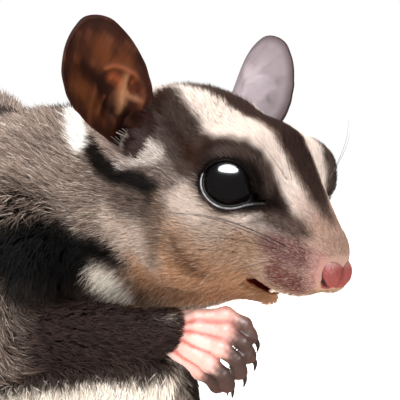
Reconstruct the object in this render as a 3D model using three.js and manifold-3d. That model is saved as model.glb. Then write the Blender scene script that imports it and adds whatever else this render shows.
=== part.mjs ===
// A life-size sugar glider, crouched on its haunches with the right forepaw raised to the mouth.
// Millimetres. X is lateral with the animal's left at +X, the nose points to -Y, Z is up from the floor at 0.
import * as THREE from "three";
import { mergeVertices } from "three/addons/utils/BufferGeometryUtils.js";
import Module from "manifold-3d";

const wasm = await Module();
wasm.setup();

// Driving dimensions
const GAP = 0.3; // clearance kept between neighbouring pieces
const SHORTEST_EDGE = 0.03; // what a cut or a join leaves shorter than this is merged
const NOSE_HEIGHT = 33;
const HEAD_PITCH = 23; // degrees, nose down
const EYE_RADIUS = 4.3;
const EYE_CENTRE = [7.4, 17.1, 4.55]; // in the head's own frame: lateral, back from the nose, up
const EYE_AIM = [0.76, -0.6, 0.2];
const EAR_LENGTH = 17.4;
const EAR_HALF_WIDTH = 6.2;
// Each ear, in the head's own frame and drawn for the left side: its root, its tip and where its cup faces.
const EARS = {
  left: { root: [11.75, 32.4, 4.4], tip: [22.3, 40.5, 15.7], facing: [0.8, -0.37, -0.48] },
  right: { root: [10.8, 33.6, 3.2], tip: [17.9, 38.6, 17.0], facing: [0.26, -0.95, 0.1] },
};
const TAIL_RADIUS = 11;

const COLOURS = {
  coat: [0.36, 0.32, 0.29],
  pale: [0.78, 0.7, 0.6],
  dark: [0.12, 0.1, 0.09],
  skin: [0.85, 0.6, 0.56],
  ear: [0.3, 0.17, 0.13],
  eye: [0.01, 0.01, 0.012],
};

// Vector helpers
const v3 = (a) => new THREE.Vector3(a[0], a[1], a[2]);
const mirrored = (a, side) => [a[0] * side, a[1], a[2]];
const pitchCos = Math.cos(THREE.MathUtils.degToRad(HEAD_PITCH));
const pitchSin = Math.sin(THREE.MathUtils.degToRad(HEAD_PITCH));

// From the head's own frame, with the nose tip at its origin, to the animal's frame.
function fromHead([x, y, z]) {
  return [x, y * pitchCos - z * pitchSin, NOSE_HEIGHT + y * pitchSin + z * pitchCos];
}

function toHead([x, y, z]) {
  const up = z - NOSE_HEIGHT;
  return [x, y * pitchCos + up * pitchSin, up * pitchCos - y * pitchSin];
}

// Distance functions
function ellipsoid(p, c, r) {
  const x = (p[0] - c[0]) / r[0];
  const y = (p[1] - c[1]) / r[1];
  const z = (p[2] - c[2]) / r[2];
  const near = Math.hypot(x, y, z);
  return (near * (near - 1)) / Math.max(Math.hypot(x / r[0], y / r[1], z / r[2]), 1e-9);
}

// A round limb that tapers from radius ra at a to rb at b.
function limb(p, a, b, ra, rb) {
  const d = [b[0] - a[0], b[1] - a[1], b[2] - a[2]];
  const q = [p[0] - a[0], p[1] - a[1], p[2] - a[2]];
  const along = (q[0] * d[0] + q[1] * d[1] + q[2] * d[2]) / (d[0] ** 2 + d[1] ** 2 + d[2] ** 2);
  const t = Math.min(Math.max(along, 0), 1);
  return Math.hypot(q[0] - t * d[0], q[1] - t * d[1], q[2] - t * d[2]) - (ra + (rb - ra) * t);
}

function blend(a, b, width) {
  const h = Math.max(width - Math.abs(a - b), 0) / width;
  return Math.min(a, b) - h * h * width * 0.25;
}

// Limbs: each has its two ends, with the animal's left at +X, and its radius there.
const LIMBS = {
  upper_arm_right: { a: [-13, 46, 31], b: [-20, 46, 21], ra: 11, rb: 8.5, blend: 6 },
  forearm_right: { a: [-20, 46, 20], b: [-8.8, 21.5, 23.5], ra: 6.8, rb: 3.2, blend: 4 },
  upper_arm_left: { a: [13, 46, 31], b: [20, 52, 22], ra: 11, rb: 8.5, blend: 6 },
  forearm_left: { a: [20, 52, 21], b: [11, 36, 6], ra: 6.6, rb: 3.2, blend: 4 },
  thigh_right: { a: [-17, 106, 26], b: [-25, 82, 16], ra: 14, rb: 10, blend: 6 },
  thigh_left: { a: [17, 106, 26], b: [25, 82, 16], ra: 14, rb: 10, blend: 6 },
  shank_right: { a: [-27, 82, 12.5], b: [-26, 98, 6.5], ra: 8, rb: 5, blend: 4 },
  shank_left: { a: [27, 82, 12.5], b: [26, 98, 6.5], ra: 8, rb: 5, blend: 4 },
};

function limbDistance(p, name) {
  const { a, b, ra, rb } = LIMBS[name];
  return limb(p, a, b, ra, rb);
}

// The head in its own frame: skull, forehead, muzzle, cheeks, eye sockets, whisker pads and jaw.
function headDistance(q) {
  const m = [Math.abs(q[0]), q[1], q[2]];
  let d = ellipsoid(q, [0, 27.5, 0.6], [12.6, 14, 11.4]);
  d = blend(d, limb(q, [0, 5.4, 1.3], [0, 18, 5.3], 3.5, 7.1), 4);
  d = blend(d, limb(q, [0, 3.9, -1.1], [0, 16, -1.4], 3.1, 8.4), 3);
  d = blend(d, ellipsoid(m, [7.2, 23, -4.0], [8.2, 11, 8.4]), 5);
  d = blend(d, ellipsoid(m, [6.9, 17.6, 4.4], [5.3, 6, 5.4]), 4);
  d = blend(d, ellipsoid(m, [3.5, 6.8, -2.8], [3.2, 4.8, 3.2]), 3);
  return blend(d, limb(q, [0, 10.0, -8.3], [0, 20, -7.0], 2.0, 6.4), 2.5);
}

function trunkDistance(p) {
  let d = limb(p, [0, 30, 40.5], [0, 54, 31.5], 13, 18);
  d = blend(d, limb(p, [0, 25, 33], [0, 50, 28], 8, 15), 6);
  d = blend(d, ellipsoid(p, [0, 58, 28.5], [20.5, 23, 22]), 8);
  d = blend(d, ellipsoid(p, [0, 85, 27], [26.5, 30, 30]), 8);
  return blend(d, ellipsoid(p, [0, 108, 24], [24, 25, 26]), 8);
}

// The outer surface of the coat over head, trunk and limbs, without paws, ears and tail.
function bodyDistance(p) {
  let d = trunkDistance(p);
  for (const name of Object.keys(LIMBS)) d = blend(d, limbDistance(p, name), LIMBS[name].blend);
  return blend(headDistance(toHead(p)), d, 7);
}

// The nose pad, in the head's own frame: two lobes with a groove between them.
function noseDistance(q) {
  const m = [Math.abs(q[0]), q[1], q[2]];
  let d = ellipsoid(m, [1.1, 2.0, -0.9], [1.65, 1.8, 1.9]);
  return blend(d, ellipsoid(q, [0, 3.0, -0.6], [2.2, 2.0, 1.8]), 0.8);
}

// Surfaces of distance functions, by surface nets with each vertex moved onto the surface.
function isoGeometry(distance, low, high, step) {
  const n = [0, 1, 2].map((i) => Math.ceil((high[i] - low[i]) / step) + 1);
  const index = (i, j, k) => i + n[0] * (j + n[1] * k);
  const at = (i, j, k) => [low[0] + i * step, low[1] + j * step, low[2] + k * step];
  const values = new Float64Array(n[0] * n[1] * n[2]);
  for (let k = 0; k < n[2]; k++) {
    for (let j = 0; j < n[1]; j++) {
      for (let i = 0; i < n[0]; i++) {
        const edge = i === 0 || j === 0 || k === 0 || i === n[0] - 1 || j === n[1] - 1 || k === n[2] - 1;
        const d = distance(at(i, j, k));
        values[index(i, j, k)] = edge ? Math.max(d, step * 0.5) : d;
      }
    }
  }
  const vertexOf = new Map();
  const positions = [];
  for (let k = 0; k < n[2] - 1; k++) {
    for (let j = 0; j < n[1] - 1; j++) {
      for (let i = 0; i < n[0] - 1; i++) {
        const sum = [0, 0, 0];
        let crossings = 0;
        for (let axis = 0; axis < 3; axis++) {
          for (let corner = 0; corner < 4; corner++) {
            const start = [i, j, k];
            start[(axis + 1) % 3] += corner & 1;
            start[(axis + 2) % 3] += corner >> 1;
            const end = [...start];
            end[axis] += 1;
            const a = values[index(...start)];
            const b = values[index(...end)];
            if (a < 0 === b < 0) continue;
            const t = a / (a - b);
            const point = at(...start);
            point[axis] += t * step;
            for (let c = 0; c < 3; c++) sum[c] += point[c];
            crossings++;
          }
        }
        if (!crossings) continue;
        vertexOf.set(index(i, j, k), positions.length / 3);
        positions.push(...settle(distance, sum.map((s) => s / crossings), low, high, step));
      }
    }
  }
  const triangles = [];
  for (let k = 0; k < n[2] - 1; k++) {
    for (let j = 0; j < n[1] - 1; j++) {
      for (let i = 0; i < n[0] - 1; i++) {
        for (let axis = 0; axis < 3; axis++) {
          const end = [i, j, k];
          if (end[(axis + 1) % 3] === 0 || end[(axis + 2) % 3] === 0) continue;
          end[axis] += 1;
          const a = values[index(i, j, k)] < 0;
          const b = values[index(...end)] < 0;
          if (a === b) continue;
          const ring = [[0, 0], [1, 0], [1, 1], [0, 1]].map(([u, w]) => {
            const cell = [i, j, k];
            cell[(axis + 1) % 3] -= u;
            cell[(axis + 2) % 3] -= w;
            return vertexOf.get(index(...cell));
          });
          if (!a) ring.reverse();
          triangles.push(ring[0], ring[1], ring[2], ring[0], ring[2], ring[3]);
        }
      }
    }
  }
  const geometry = new THREE.BufferGeometry();
  geometry.setAttribute("position", new THREE.Float32BufferAttribute(positions, 3));
  geometry.setIndex(triangles);
  return geometry;
}

// Moves a point a little way onto the surface, where it isn't on the grid's own wall.
function settle(distance, point, low, high, step) {
  const p = [...point];
  const inside = p.every((c, i) => c > low[i] + step && c < high[i] - step);
  if (!inside) return p;
  const e = step * 0.05;
  for (let round = 0; round < 2; round++) {
    const g = [0, 1, 2].map((i) => {
      const ahead = [...p];
      const behind = [...p];
      ahead[i] += e;
      behind[i] -= e;
      return (distance(ahead) - distance(behind)) / (2 * e);
    });
    const steep = g[0] ** 2 + g[1] ** 2 + g[2] ** 2;
    const move = distance(p) / Math.max(steep, 0.25);
    for (let c = 0; c < 3; c++) p[c] -= THREE.MathUtils.clamp(move * g[c], -0.4 * step, 0.4 * step);
  }
  return p.map((c, i) => THREE.MathUtils.clamp(c, point[i] - 0.5 * step, point[i] + 0.5 * step));
}

// Solids
function solid(geometry) {
  const bare = geometry.clone();
  bare.deleteAttribute("normal");
  bare.deleteAttribute("uv");
  const merged = mergeVertices(bare, 1e-4);
  const made = new wasm.Manifold(
    new wasm.Mesh({
      numProp: 3,
      tolerance: SHORTEST_EDGE,
      vertProperties: new Float32Array(merged.attributes.position.array),
      triVerts: new Uint32Array(merged.index.array),
    }),
  );
  return made;
}

const isoSolid = (distance, low, high, step) => solid(isoGeometry(distance, low, high, step));
const joined = (pieces) => pieces.reduce((all, piece) => all.add(piece));

function largest(made) {
  return made.decompose().sort((a, b) => b.volume() - a.volume())[0];
}

// A closed tube through points, with a radius at each, flattened by thin across the direction flat.
function tube(points, radii, { sides = 8, rings = 4, thin = 1, flat = [0, 0, 1] } = {}) {
  const curve = new THREE.CatmullRomCurve3(points.map(v3), false, "centripetal");
  const steps = (points.length - 1) * rings;
  const across = v3(flat).normalize();
  const positions = [];
  for (let s = 0; s <= steps; s++) {
    const t = s / steps;
    const centre = curve.getPoint(t);
    const along = curve.getTangent(t);
    const side = new THREE.Vector3().crossVectors(along, across).normalize();
    const up = new THREE.Vector3().crossVectors(along, side).normalize();
    const place = t * (radii.length - 1);
    const low = Math.min(Math.floor(place), radii.length - 2);
    const radius = THREE.MathUtils.lerp(radii[low], radii[low + 1], place - low);
    for (let i = 0; i < sides; i++) {
      const angle = (2 * Math.PI * i) / sides;
      const point = centre.clone();
      point.addScaledVector(side, Math.cos(angle) * radius);
      point.addScaledVector(up, Math.sin(angle) * radius * thin);
      positions.push(point.x, point.y, point.z);
    }
  }
  const first = positions.length / 3;
  const ends = [curve.getPoint(0), curve.getPoint(1)];
  const caps = [curve.getTangent(0).multiplyScalar(-0.5 * radii[0] * thin)];
  caps.push(curve.getTangent(1).multiplyScalar(0.5 * radii[radii.length - 1] * thin));
  ends.forEach((end, i) => {
    end.add(caps[i]);
    positions.push(end.x, end.y, end.z);
  });
  const triangles = [];
  for (let i = 0; i < sides; i++) {
    const next = (i + 1) % sides;
    for (let s = 0; s < steps; s++) {
      const a = s * sides + i;
      const b = s * sides + next;
      triangles.push(a, b, b + sides, a, b + sides, a + sides);
    }
    triangles.push(first, next, i, first + 1, steps * sides + i, steps * sides + next);
  }
  const geometry = new THREE.BufferGeometry();
  geometry.setAttribute("position", new THREE.Float32BufferAttribute(positions, 3));
  geometry.setIndex(triangles);
  return solid(geometry);
}

// Flesh: the coat's outer surface meshed at the fineness that a piece needs, and the cells that part it.
const flesh = (low, high, step, grown = 0) => isoSolid((p) => bodyDistance(p) - grown, low, high, step);

function limbBox(name, margin) {
  const { a, b, ra, rb } = LIMBS[name];
  const reach = Math.max(ra, rb) + margin;
  return [0, 1, 2].map((i) => Math.min(a[i], b[i]) - reach).concat([0, 1, 2].map((i) => Math.max(a[i], b[i]) + reach));
}

// The cell of a limb: its own shape grown enough to take in its blend with the body.
const CELL_GROWTH = 1.2;
function limbCell(name, clearance = 0) {
  const { a, b, ra, rb } = LIMBS[name];
  const grown = CELL_GROWTH + clearance * 1.06;
  const length = v3(b).distanceTo(v3(a));
  const profile = [];
  for (const [end, radius, from] of [[0, ra + grown, -90], [length, rb + grown, 0]]) {
    for (let step = 0; step <= 3; step++) {
      const angle = THREE.MathUtils.degToRad(from + step * 30);
      profile.push(new THREE.Vector2(radius * Math.cos(angle), end + radius * Math.sin(angle)));
    }
  }
  profile[0].x = 0;
  profile[7].x = 0;
  const turn = new THREE.Quaternion();
  turn.setFromUnitVectors(new THREE.Vector3(0, 1, 0), v3(b).sub(v3(a)).normalize());
  const geometry = new THREE.LatheGeometry(profile, 14).applyQuaternion(turn);
  return solid(geometry.translate(a[0], a[1], a[2]));
}

const cells = Object.fromEntries(Object.keys(LIMBS).map((name) => [name, limbCell(name)]));
const clearings = Object.fromEntries(Object.keys(LIMBS).map((name) => [name, limbCell(name, GAP)]));

const LIMB_MARGIN = 4;
const LIMB_STEPS = {
  upper_arm_right: 4.5,
  upper_arm_left: 4.5,
  forearm_right: 2.9,
  forearm_left: 2.9,
  thigh_right: 6,
  thigh_left: 6,
  shank_right: 3.6,
  shank_left: 3.6,
};
function limbSolid(name, cutBy) {
  const box = limbBox(name, LIMB_MARGIN);
  let made = flesh(box.slice(0, 3), box.slice(3), LIMB_STEPS[name]).intersect(cells[name]);
  for (const other of cutBy) made = made.subtract(clearings[other]);
  return largest(made);
}

// Planes across the body, each with a point and a normal that points to the tail.
const HEAD_PLANE = { point: [0, 38.5, 54], normal: [0, 0.949, -0.316] };
const NECK_PLANE = { point: [0, 50, 45], normal: [0, 0.8, -0.6] };
const WAIST_PLANE = { point: [0, 71, 30], normal: [0, 1, 0] };
const RUMP_PLANE = { point: [0, 99, 30], normal: [0, 1, 0] };

function behind(made, { point, normal }) {
  const n = v3(normal).normalize();
  return made.trimByPlane([n.x, n.y, n.z], n.dot(v3(point)) + GAP / 2);
}

function before(made, { point, normal }) {
  const n = v3(normal).normalize();
  return made.trimByPlane([-n.x, -n.y, -n.z], -n.dot(v3(point)) + GAP / 2);
}

const onFloor = (made) => largest(made.trimByPlane([0, 0, 1], 0));
const withoutLimbs = (made, names) => names.reduce((left, name) => left.subtract(clearings[name]), made);

// Eyes: balls in sockets, with lids that leave an almond opening.
function eyeAxes(side) {
  const aim = v3(mirrored(EYE_AIM, side)).normalize();
  const pitched = v3(fromHead([aim.x, aim.y, aim.z])).sub(v3(fromHead([0, 0, 0])));
  const forward = new THREE.Vector3(-side * 0.5, -0.62, -0.5);
  const long = forward.addScaledVector(pitched, -forward.dot(pitched)).normalize();
  const tall = new THREE.Vector3().crossVectors(pitched, long).multiplyScalar(-side);
  return { aim: pitched, long, tall, centre: v3(fromHead(mirrored(EYE_CENTRE, side))) };
}

function eyeBall(side, radius, detail) {
  const { centre } = eyeAxes(side);
  return solid(new THREE.SphereGeometry(radius, detail, Math.round(detail * 0.7)).translate(centre.x, centre.y, centre.z));
}

// The lid opening, a rounded almond drawn across the eye's axis with its point towards the nose.
function lidOpening(side) {
  const { aim, long, tall, centre } = eyeAxes(side);
  const outline = new THREE.Shape();
  outline.moveTo(-3.5, 0.3);
  outline.bezierCurveTo(-3.4, 2.4, -1.6, 3.2, 0.2, 3.1);
  outline.bezierCurveTo(2.2, 3.0, 3.2, 1.4, 4.4, 0.0);
  outline.bezierCurveTo(3.2, -0.6, 2.4, -2.7, 0.2, -3.0);
  outline.bezierCurveTo(-1.8, -3.1, -3.4, -1.8, -3.5, 0.3);
  const geometry = new THREE.ExtrudeGeometry(outline, { depth: 9, bevelEnabled: false, curveSegments: 7 });
  const basis = new THREE.Matrix4().makeBasis(long, tall, new THREE.Vector3().crossVectors(long, tall));
  const facing = new THREE.Vector3().crossVectors(long, tall).dot(aim);
  if (facing < 0) geometry.translate(0, 0, -9);
  geometry.applyMatrix4(basis).translate(centre.x, centre.y, centre.z);
  return solid(geometry);
}

// Ears: cupped leaves, drawn on a disc of rings from the middle to the rim.
function earSolid(name) {
  const side = name === "left" ? 1 : -1;
  const root = v3(fromHead(mirrored(EARS[name].root, side)));
  const tip = v3(fromHead(mirrored(EARS[name].tip, side)));
  const up = tip.clone().sub(root).normalize();
  const facing = v3(fromHead(mirrored(EARS[name].facing, side))).sub(v3(fromHead([0, 0, 0])));
  facing.addScaledVector(up, -facing.dot(up)).normalize();
  const wide = new THREE.Vector3().crossVectors(up, facing).normalize();
  const rimSteps = 18;
  const ringCount = 3;
  const thickness = (share) => 1.1 - 0.5 * share;
  const place = (share, angle, depth) => {
    const height = EAR_LENGTH * (0.5 + 0.5 * Math.sin(angle) * share);
    const low = Math.max(0.5 - height / EAR_LENGTH, 0) * 2;
    const half = EAR_HALF_WIDTH * (1 - 0.28 * low * low);
    const across = half * Math.cos(angle) * share;
    const cup = 0.07 * across * across * (1 + 0.9 * low) - 0.012 * (height - 9) ** 2;
    const point = root.clone().addScaledVector(up, height).addScaledVector(wide, across);
    return point.addScaledVector(facing, cup - 1.2 - depth);
  };
  const positions = [];
  for (const face of [0, 1]) {
    const middle = place(0, 0, face * thickness(0));
    positions.push(middle.x, middle.y, middle.z);
    for (let r = 1; r <= ringCount; r++) {
      for (let i = 0; i < rimSteps; i++) {
        const point = place(r / ringCount, (2 * Math.PI * i) / rimSteps, face * thickness(r / ringCount));
        positions.push(point.x, point.y, point.z);
      }
    }
  }
  const faceSize = 1 + ringCount * rimSteps;
  const triangles = [];
  const vertex = (face, r, i) => face * faceSize + (r === 0 ? 0 : 1 + (r - 1) * rimSteps + (i % rimSteps));
  const add = (face, a, b, c) => triangles.push(...(face === 0 ? [a, b, c] : [a, c, b]));
  for (let i = 0; i < rimSteps; i++) {
    for (const face of [0, 1]) {
      add(face, vertex(face, 0, 0), vertex(face, 1, i), vertex(face, 1, i + 1));
      for (let r = 1; r < ringCount; r++) {
        add(face, vertex(face, r, i), vertex(face, r + 1, i), vertex(face, r + 1, i + 1));
        add(face, vertex(face, r, i), vertex(face, r + 1, i + 1), vertex(face, r, i + 1));
      }
    }
    const rim = [vertex(0, ringCount, i), vertex(0, ringCount, i + 1)];
    const back = [vertex(1, ringCount, i), vertex(1, ringCount, i + 1)];
    triangles.push(rim[0], back[0], back[1], rim[0], back[1], rim[1]);
  }
  const geometry = new THREE.BufferGeometry();
  geometry.setAttribute("position", new THREE.Float32BufferAttribute(positions, 3));
  geometry.setIndex(triangles);
  const made = solid(geometry);
  if (made.volume() > 0) return made;
  const turned = [];
  for (let i = 0; i < triangles.length; i += 3) turned.push(triangles[i], triangles[i + 2], triangles[i + 1]);
  geometry.setIndex(turned);
  return solid(geometry);
}

// Head
const HEAD_BOX = [[-24, -3, 14], [24, 46, 66]];
const headFlesh = flesh(HEAD_BOX[0], HEAD_BOX[1], 2.8);

function noseSolid(grown) {
  const low = fromHead([-4, -1, -4]).map((c, i) => c - [2, 2, 2][i]);
  const high = fromHead([4, 6, 3]).map((c, i) => c + [2, 2, 2][i]);
  return isoSolid((p) => noseDistance(toHead(p)) - grown, low, high, 0.95);
}

// Each nostril is a short curved slit that runs back round the side of the pad.
function nostril(side) {
  const points = [[1.3, -0.3, -1.1], [2.2, 0.4, -1.3], [3.1, 1.4, -0.8], [3.5, 2.3, -0.2]];
  return tube(points.map((p) => fromHead(mirrored(p, side))), [0.35, 0.5, 0.45, 0.3], { sides: 6, rings: 2 });
}

// The mouth: a gap between the lips from one corner round to the other.
function mouth() {
  const gap = new THREE.SphereGeometry(1, 20, 12).scale(5.4, 6.6, 1.15);
  gap.rotateX(THREE.MathUtils.degToRad(HEAD_PITCH + 4));
  const [x, y, z] = fromHead([0, 5.2, -5.3]);
  return solid(gap.translate(x, y, z));
}

const nostrils = [nostril(-1), nostril(1)];
let head = before(headFlesh, HEAD_PLANE).subtract(noseSolid(GAP)).subtract(mouth());
head = withoutLimbs(head, ["upper_arm_right", "forearm_right", "upper_arm_left", "forearm_left"]);
for (const side of [-1, 1]) head = head.subtract(eyeBall(side, EYE_RADIUS + GAP, 12)).subtract(lidOpening(side));
head = largest(head.subtract(nostrils[0]).subtract(nostrils[1]));
const nose = largest(noseSolid(0).subtract(nostrils[0]).subtract(nostrils[1]));

// The head's skin stands GAP off the ear roots.
const earBed = flesh(HEAD_BOX[0], HEAD_BOX[1], 2, GAP);
const ears = { left: largest(earSolid("left").subtract(earBed)), right: largest(earSolid("right").subtract(earBed)) };

// Trunk
const armNames = ["upper_arm_right", "forearm_right", "upper_arm_left", "forearm_left"];
const legNames = ["thigh_right", "thigh_left", "shank_right", "shank_left"];
const neckFlesh = flesh([-30, 18, 4], [30, 64, 62], 5);
const neck = largest(withoutLimbs(before(behind(neckFlesh, HEAD_PLANE), NECK_PLANE), armNames));
const chestFlesh = flesh([-34, 22, -4], [34, 76, 62], 6.4);
const chest = onFloor(withoutLimbs(before(behind(chestFlesh, NECK_PLANE), WAIST_PLANE), [...armNames, ...legNames]));
const bellyFlesh = flesh([-40, 66, -6], [40, 104, 66], 7);
const belly = onFloor(withoutLimbs(before(behind(bellyFlesh, WAIST_PLANE), RUMP_PLANE), [...armNames, ...legNames]));
const rumpFlesh = flesh([-40, 94, -6], [40, 140, 60], 7);
const rump = onFloor(withoutLimbs(behind(rumpFlesh, RUMP_PLANE), legNames));

// Limbs
const limbs = {};
for (const side of ["right", "left"]) {
  limbs[`upper_arm_${side}`] = limbSolid(`upper_arm_${side}`, []);
  limbs[`forearm_${side}`] = limbSolid(`forearm_${side}`, [`upper_arm_${side}`]);
  limbs[`thigh_${side}`] = limbSolid(`thigh_${side}`, []);
  limbs[`shank_${side}`] = limbSolid(`shank_${side}`, [`thigh_${side}`]);
}

// A toe with its claw: a tapering tube through the joints, then a thin hook.
function toe(joints, radius, claw) {
  const pieces = [tube(joints, [radius, radius * 0.92, radius, radius * 0.8], { sides: 5, rings: 1 })];
  if (claw > 0) {
    const end = v3(joints[joints.length - 1]);
    const lead = end.clone().sub(v3(joints[joints.length - 2])).normalize();
    const root = end.clone().addScaledVector(lead, -0.3 * radius);
    const middle = end.clone().addScaledVector(lead, radius + 0.45 * claw).add(v3([0, 0, 0.1 * claw]));
    const point = end.clone().addScaledVector(lead, radius + 0.9 * claw).add(v3([0, 0, -0.28 * claw]));
    const line = [root, middle, point].map((p) => p.toArray());
    pieces.push(tube(line, [0.6, 0.5, 0.18], { sides: 4, rings: 1 }));
  }
  return pieces;
}

// Raised right hand: the palm faces the mouth and the fingers curl forward and down.
const RIGHT_FINGERS = [
  [[-7.6, 17.6, 25.4], [-5.6, 14.8, 26.2], [-3.8, 12.9, 25.2], [-3.0, 12.2, 23.4]],
  [[-8.0, 17.0, 24.4], [-6.4, 13.6, 24.4], [-4.6, 11.6, 22.9], [-3.8, 11.2, 21.1]],
  [[-8.4, 17.0, 23.0], [-7.0, 13.4, 22.2], [-5.2, 11.7, 20.6], [-4.4, 11.6, 18.8]],
  [[-8.8, 17.6, 21.6], [-7.8, 14.2, 20.2], [-6.1, 12.5, 18.6], [-5.3, 12.5, 16.9]],
  [[-9.2, 18.6, 20.4], [-8.7, 15.8, 18.6], [-7.3, 14.2, 16.9], [-6.4, 13.8, 15.5]],
];
const FINGER_RADIUS = 1.35;
function rightHand() {
  const palm = tube([[-9.0, 22.4, 23.4], [-8.4, 19.4, 23.1], [-7.7, 16.4, 22.7]], [2.6, 3.8, 3.6], {
    sides: 8,
    rings: 2,
    thin: 0.62,
    flat: [-0.9, 0.3, 0.3],
  });
  const fingers = RIGHT_FINGERS.flatMap((joints) => toe(joints, FINGER_RADIUS, 1.6));
  return joined([palm, ...fingers]);
}

// Planted left hand, its fingers spread on the floor.
const LEFT_REACH = [
  [6.2, 28.6], [7.2, 24.8], [10.0, 23.2], [12.9, 24.2], [15.6, 27.4],
];
function leftHand() {
  const palm = tube([[11, 37.2, 5.4], [10.8, 34, 3.0], [10.5, 31, 2.0]], [2.8, 3.8, 3.7], {
    sides: 8,
    rings: 2,
    thin: 0.6,
    flat: [0, 0.2, 1],
  });
  const fingers = LEFT_REACH.flatMap(([x, y], i) => {
    const root = [9.0 + 0.75 * i, 31.6 + 0.4 * Math.abs(i - 2), 1.7];
    const middle = [root[0] + 0.5 * (x - root[0]), root[1] + 0.5 * (y - root[1]), 2.0];
    const bend = [root[0] + 0.8 * (x - root[0]), root[1] + 0.8 * (y - root[1]), 1.5];
    return toe([root, middle, bend, [x, y, 1]], 1.25, 1.7);
  });
  return joined([palm, ...fingers]);
}

// Hind foot: a long sole, a big clawless inner toe, two thin joined toes and two long ones.
const HIND_TOES = [
  { joints: [[22.8, 88, 2.4], [19.8, 85.5, 2.4], [18.0, 83, 2.0], [17.2, 80.6, 1.6]], radius: 1.6, claw: 0 },
  { joints: [[24.2, 83, 2.4], [23.4, 79.6, 2.6], [22.9, 77, 2.0], [22.6, 75, 1.3]], radius: 1.05, claw: 1.8 },
  { joints: [[25.4, 82.6, 2.5], [24.9, 79, 2.7], [24.7, 76.2, 2.1], [24.6, 74, 1.3]], radius: 1.05, claw: 1.8 },
  { joints: [[26.9, 82.8, 2.5], [27.2, 78.4, 2.9], [27.5, 75, 2.2], [27.7, 72.4, 1.4]], radius: 1.3, claw: 2.1 },
  { joints: [[28.4, 83.8, 2.4], [29.6, 79.8, 2.7], [30.6, 77, 2.1], [31.3, 74.8, 1.4]], radius: 1.25, claw: 2.1 },
];
function hindFoot(side) {
  const line = [[25.8, 99.5, 4.2], [25.9, 93, 2.8], [26, 87, 2.2], [26.2, 83, 2.0]];
  const sole = tube(line.map((p) => mirrored(p, side)), [3.0, 3.3, 4.2, 3.8], { sides: 7, rings: 1, thin: 0.65 });
  const toes = HIND_TOES.flatMap(({ joints, radius, claw }) => {
    return toe(joints.map((p) => mirrored(p, side)), radius, claw);
  });
  return joined([sole, ...toes]);
}

// The limb that a paw grows from, on the limb's own grid but a little larger all round.
function pawBed(name) {
  const box = limbBox(name, LIMB_MARGIN);
  const step = LIMB_STEPS[name];
  const low = box.slice(0, 3).map((c) => c - 2 * step);
  const high = box.slice(3).map((c) => c + 2 * step);
  return flesh(low, high, step, 1.3 * GAP);
}

const paws = {
  hand_right: largest(rightHand().subtract(pawBed("forearm_right"))),
  hand_left: onFloor(leftHand().subtract(pawBed("forearm_left"))),
  foot_right: onFloor(hindFoot(-1).subtract(pawBed("shank_right"))),
  foot_left: onFloor(hindFoot(1).subtract(pawBed("shank_left"))),
};

// Tail: laid on the floor behind, curving to the animal's left, fullest past the root. Each length is a slim
// core with rings of flat, tapered locks that lie back along it and overlap.
const TAIL_LINE = [
  [0, 124, 17], [2, 144, 12.6], [9, 166, 11.4], [21, 188, 11.4], [39, 208, 11.2], [62, 223, 10.4], [86, 231, 8.4], [108, 232, 5],
];
const TAIL_RADII = [0.7, 0.86, 1.0, 1.05, 1.05, 1.0, 0.84, 0.3].map((share) => share * TAIL_RADIUS);
const TAIL_NODES = ["tail_root", "tail_middle", "tail_end", "tail_brush"];
const CORE_SHARE = 0.5; // the core's radius, of the radius out to the tips
const LOCK_RINGS = 10;
const FIRST_OF_NODE = [0, 3, 6, 8]; // the ring of locks that each node starts with
const ringPlace = (ring) => 0.035 + (0.93 * ring) / LOCK_RINGS; // a share of the tail's length
const LOCKS_ROUND = 6;
const LOCK_REACH = 0.165; // of the tail's length
const LOCK_THICKNESS = 0.95;
const LOCK_SECTIONS = [
  { along: 0, out: 0.3, wide: 0.36, thick: 1 },
  { along: 0.34, out: 0.74, wide: 0.84, thick: 1 },
  { along: 0.7, out: 0.94, wide: 0.84, thick: 0.75 },
];
const tailCurve = new THREE.CatmullRomCurve3(TAIL_LINE.map(v3), false, "centripetal");

function tailRadius(t) {
  const place = Math.min(Math.max(t, 0), 1) * (TAIL_RADII.length - 1);
  const low = Math.min(Math.floor(place), TAIL_RADII.length - 2);
  return THREE.MathUtils.lerp(TAIL_RADII[low], TAIL_RADII[low + 1], place - low);
}

// The tail's centre at t, past its end in a straight line, with the directions across and up.
function tailFrame(t) {
  const inside = Math.min(t, 1);
  const along = tailCurve.getTangent(inside);
  const centre = tailCurve.getPoint(inside).addScaledVector(along, (t - inside) * tailCurve.getLength());
  const across = new THREE.Vector3().crossVectors(along, new THREE.Vector3(0, 0, 1)).normalize();
  const up = new THREE.Vector3().crossVectors(across, along).normalize();
  return { centre, across, up };
}

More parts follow.
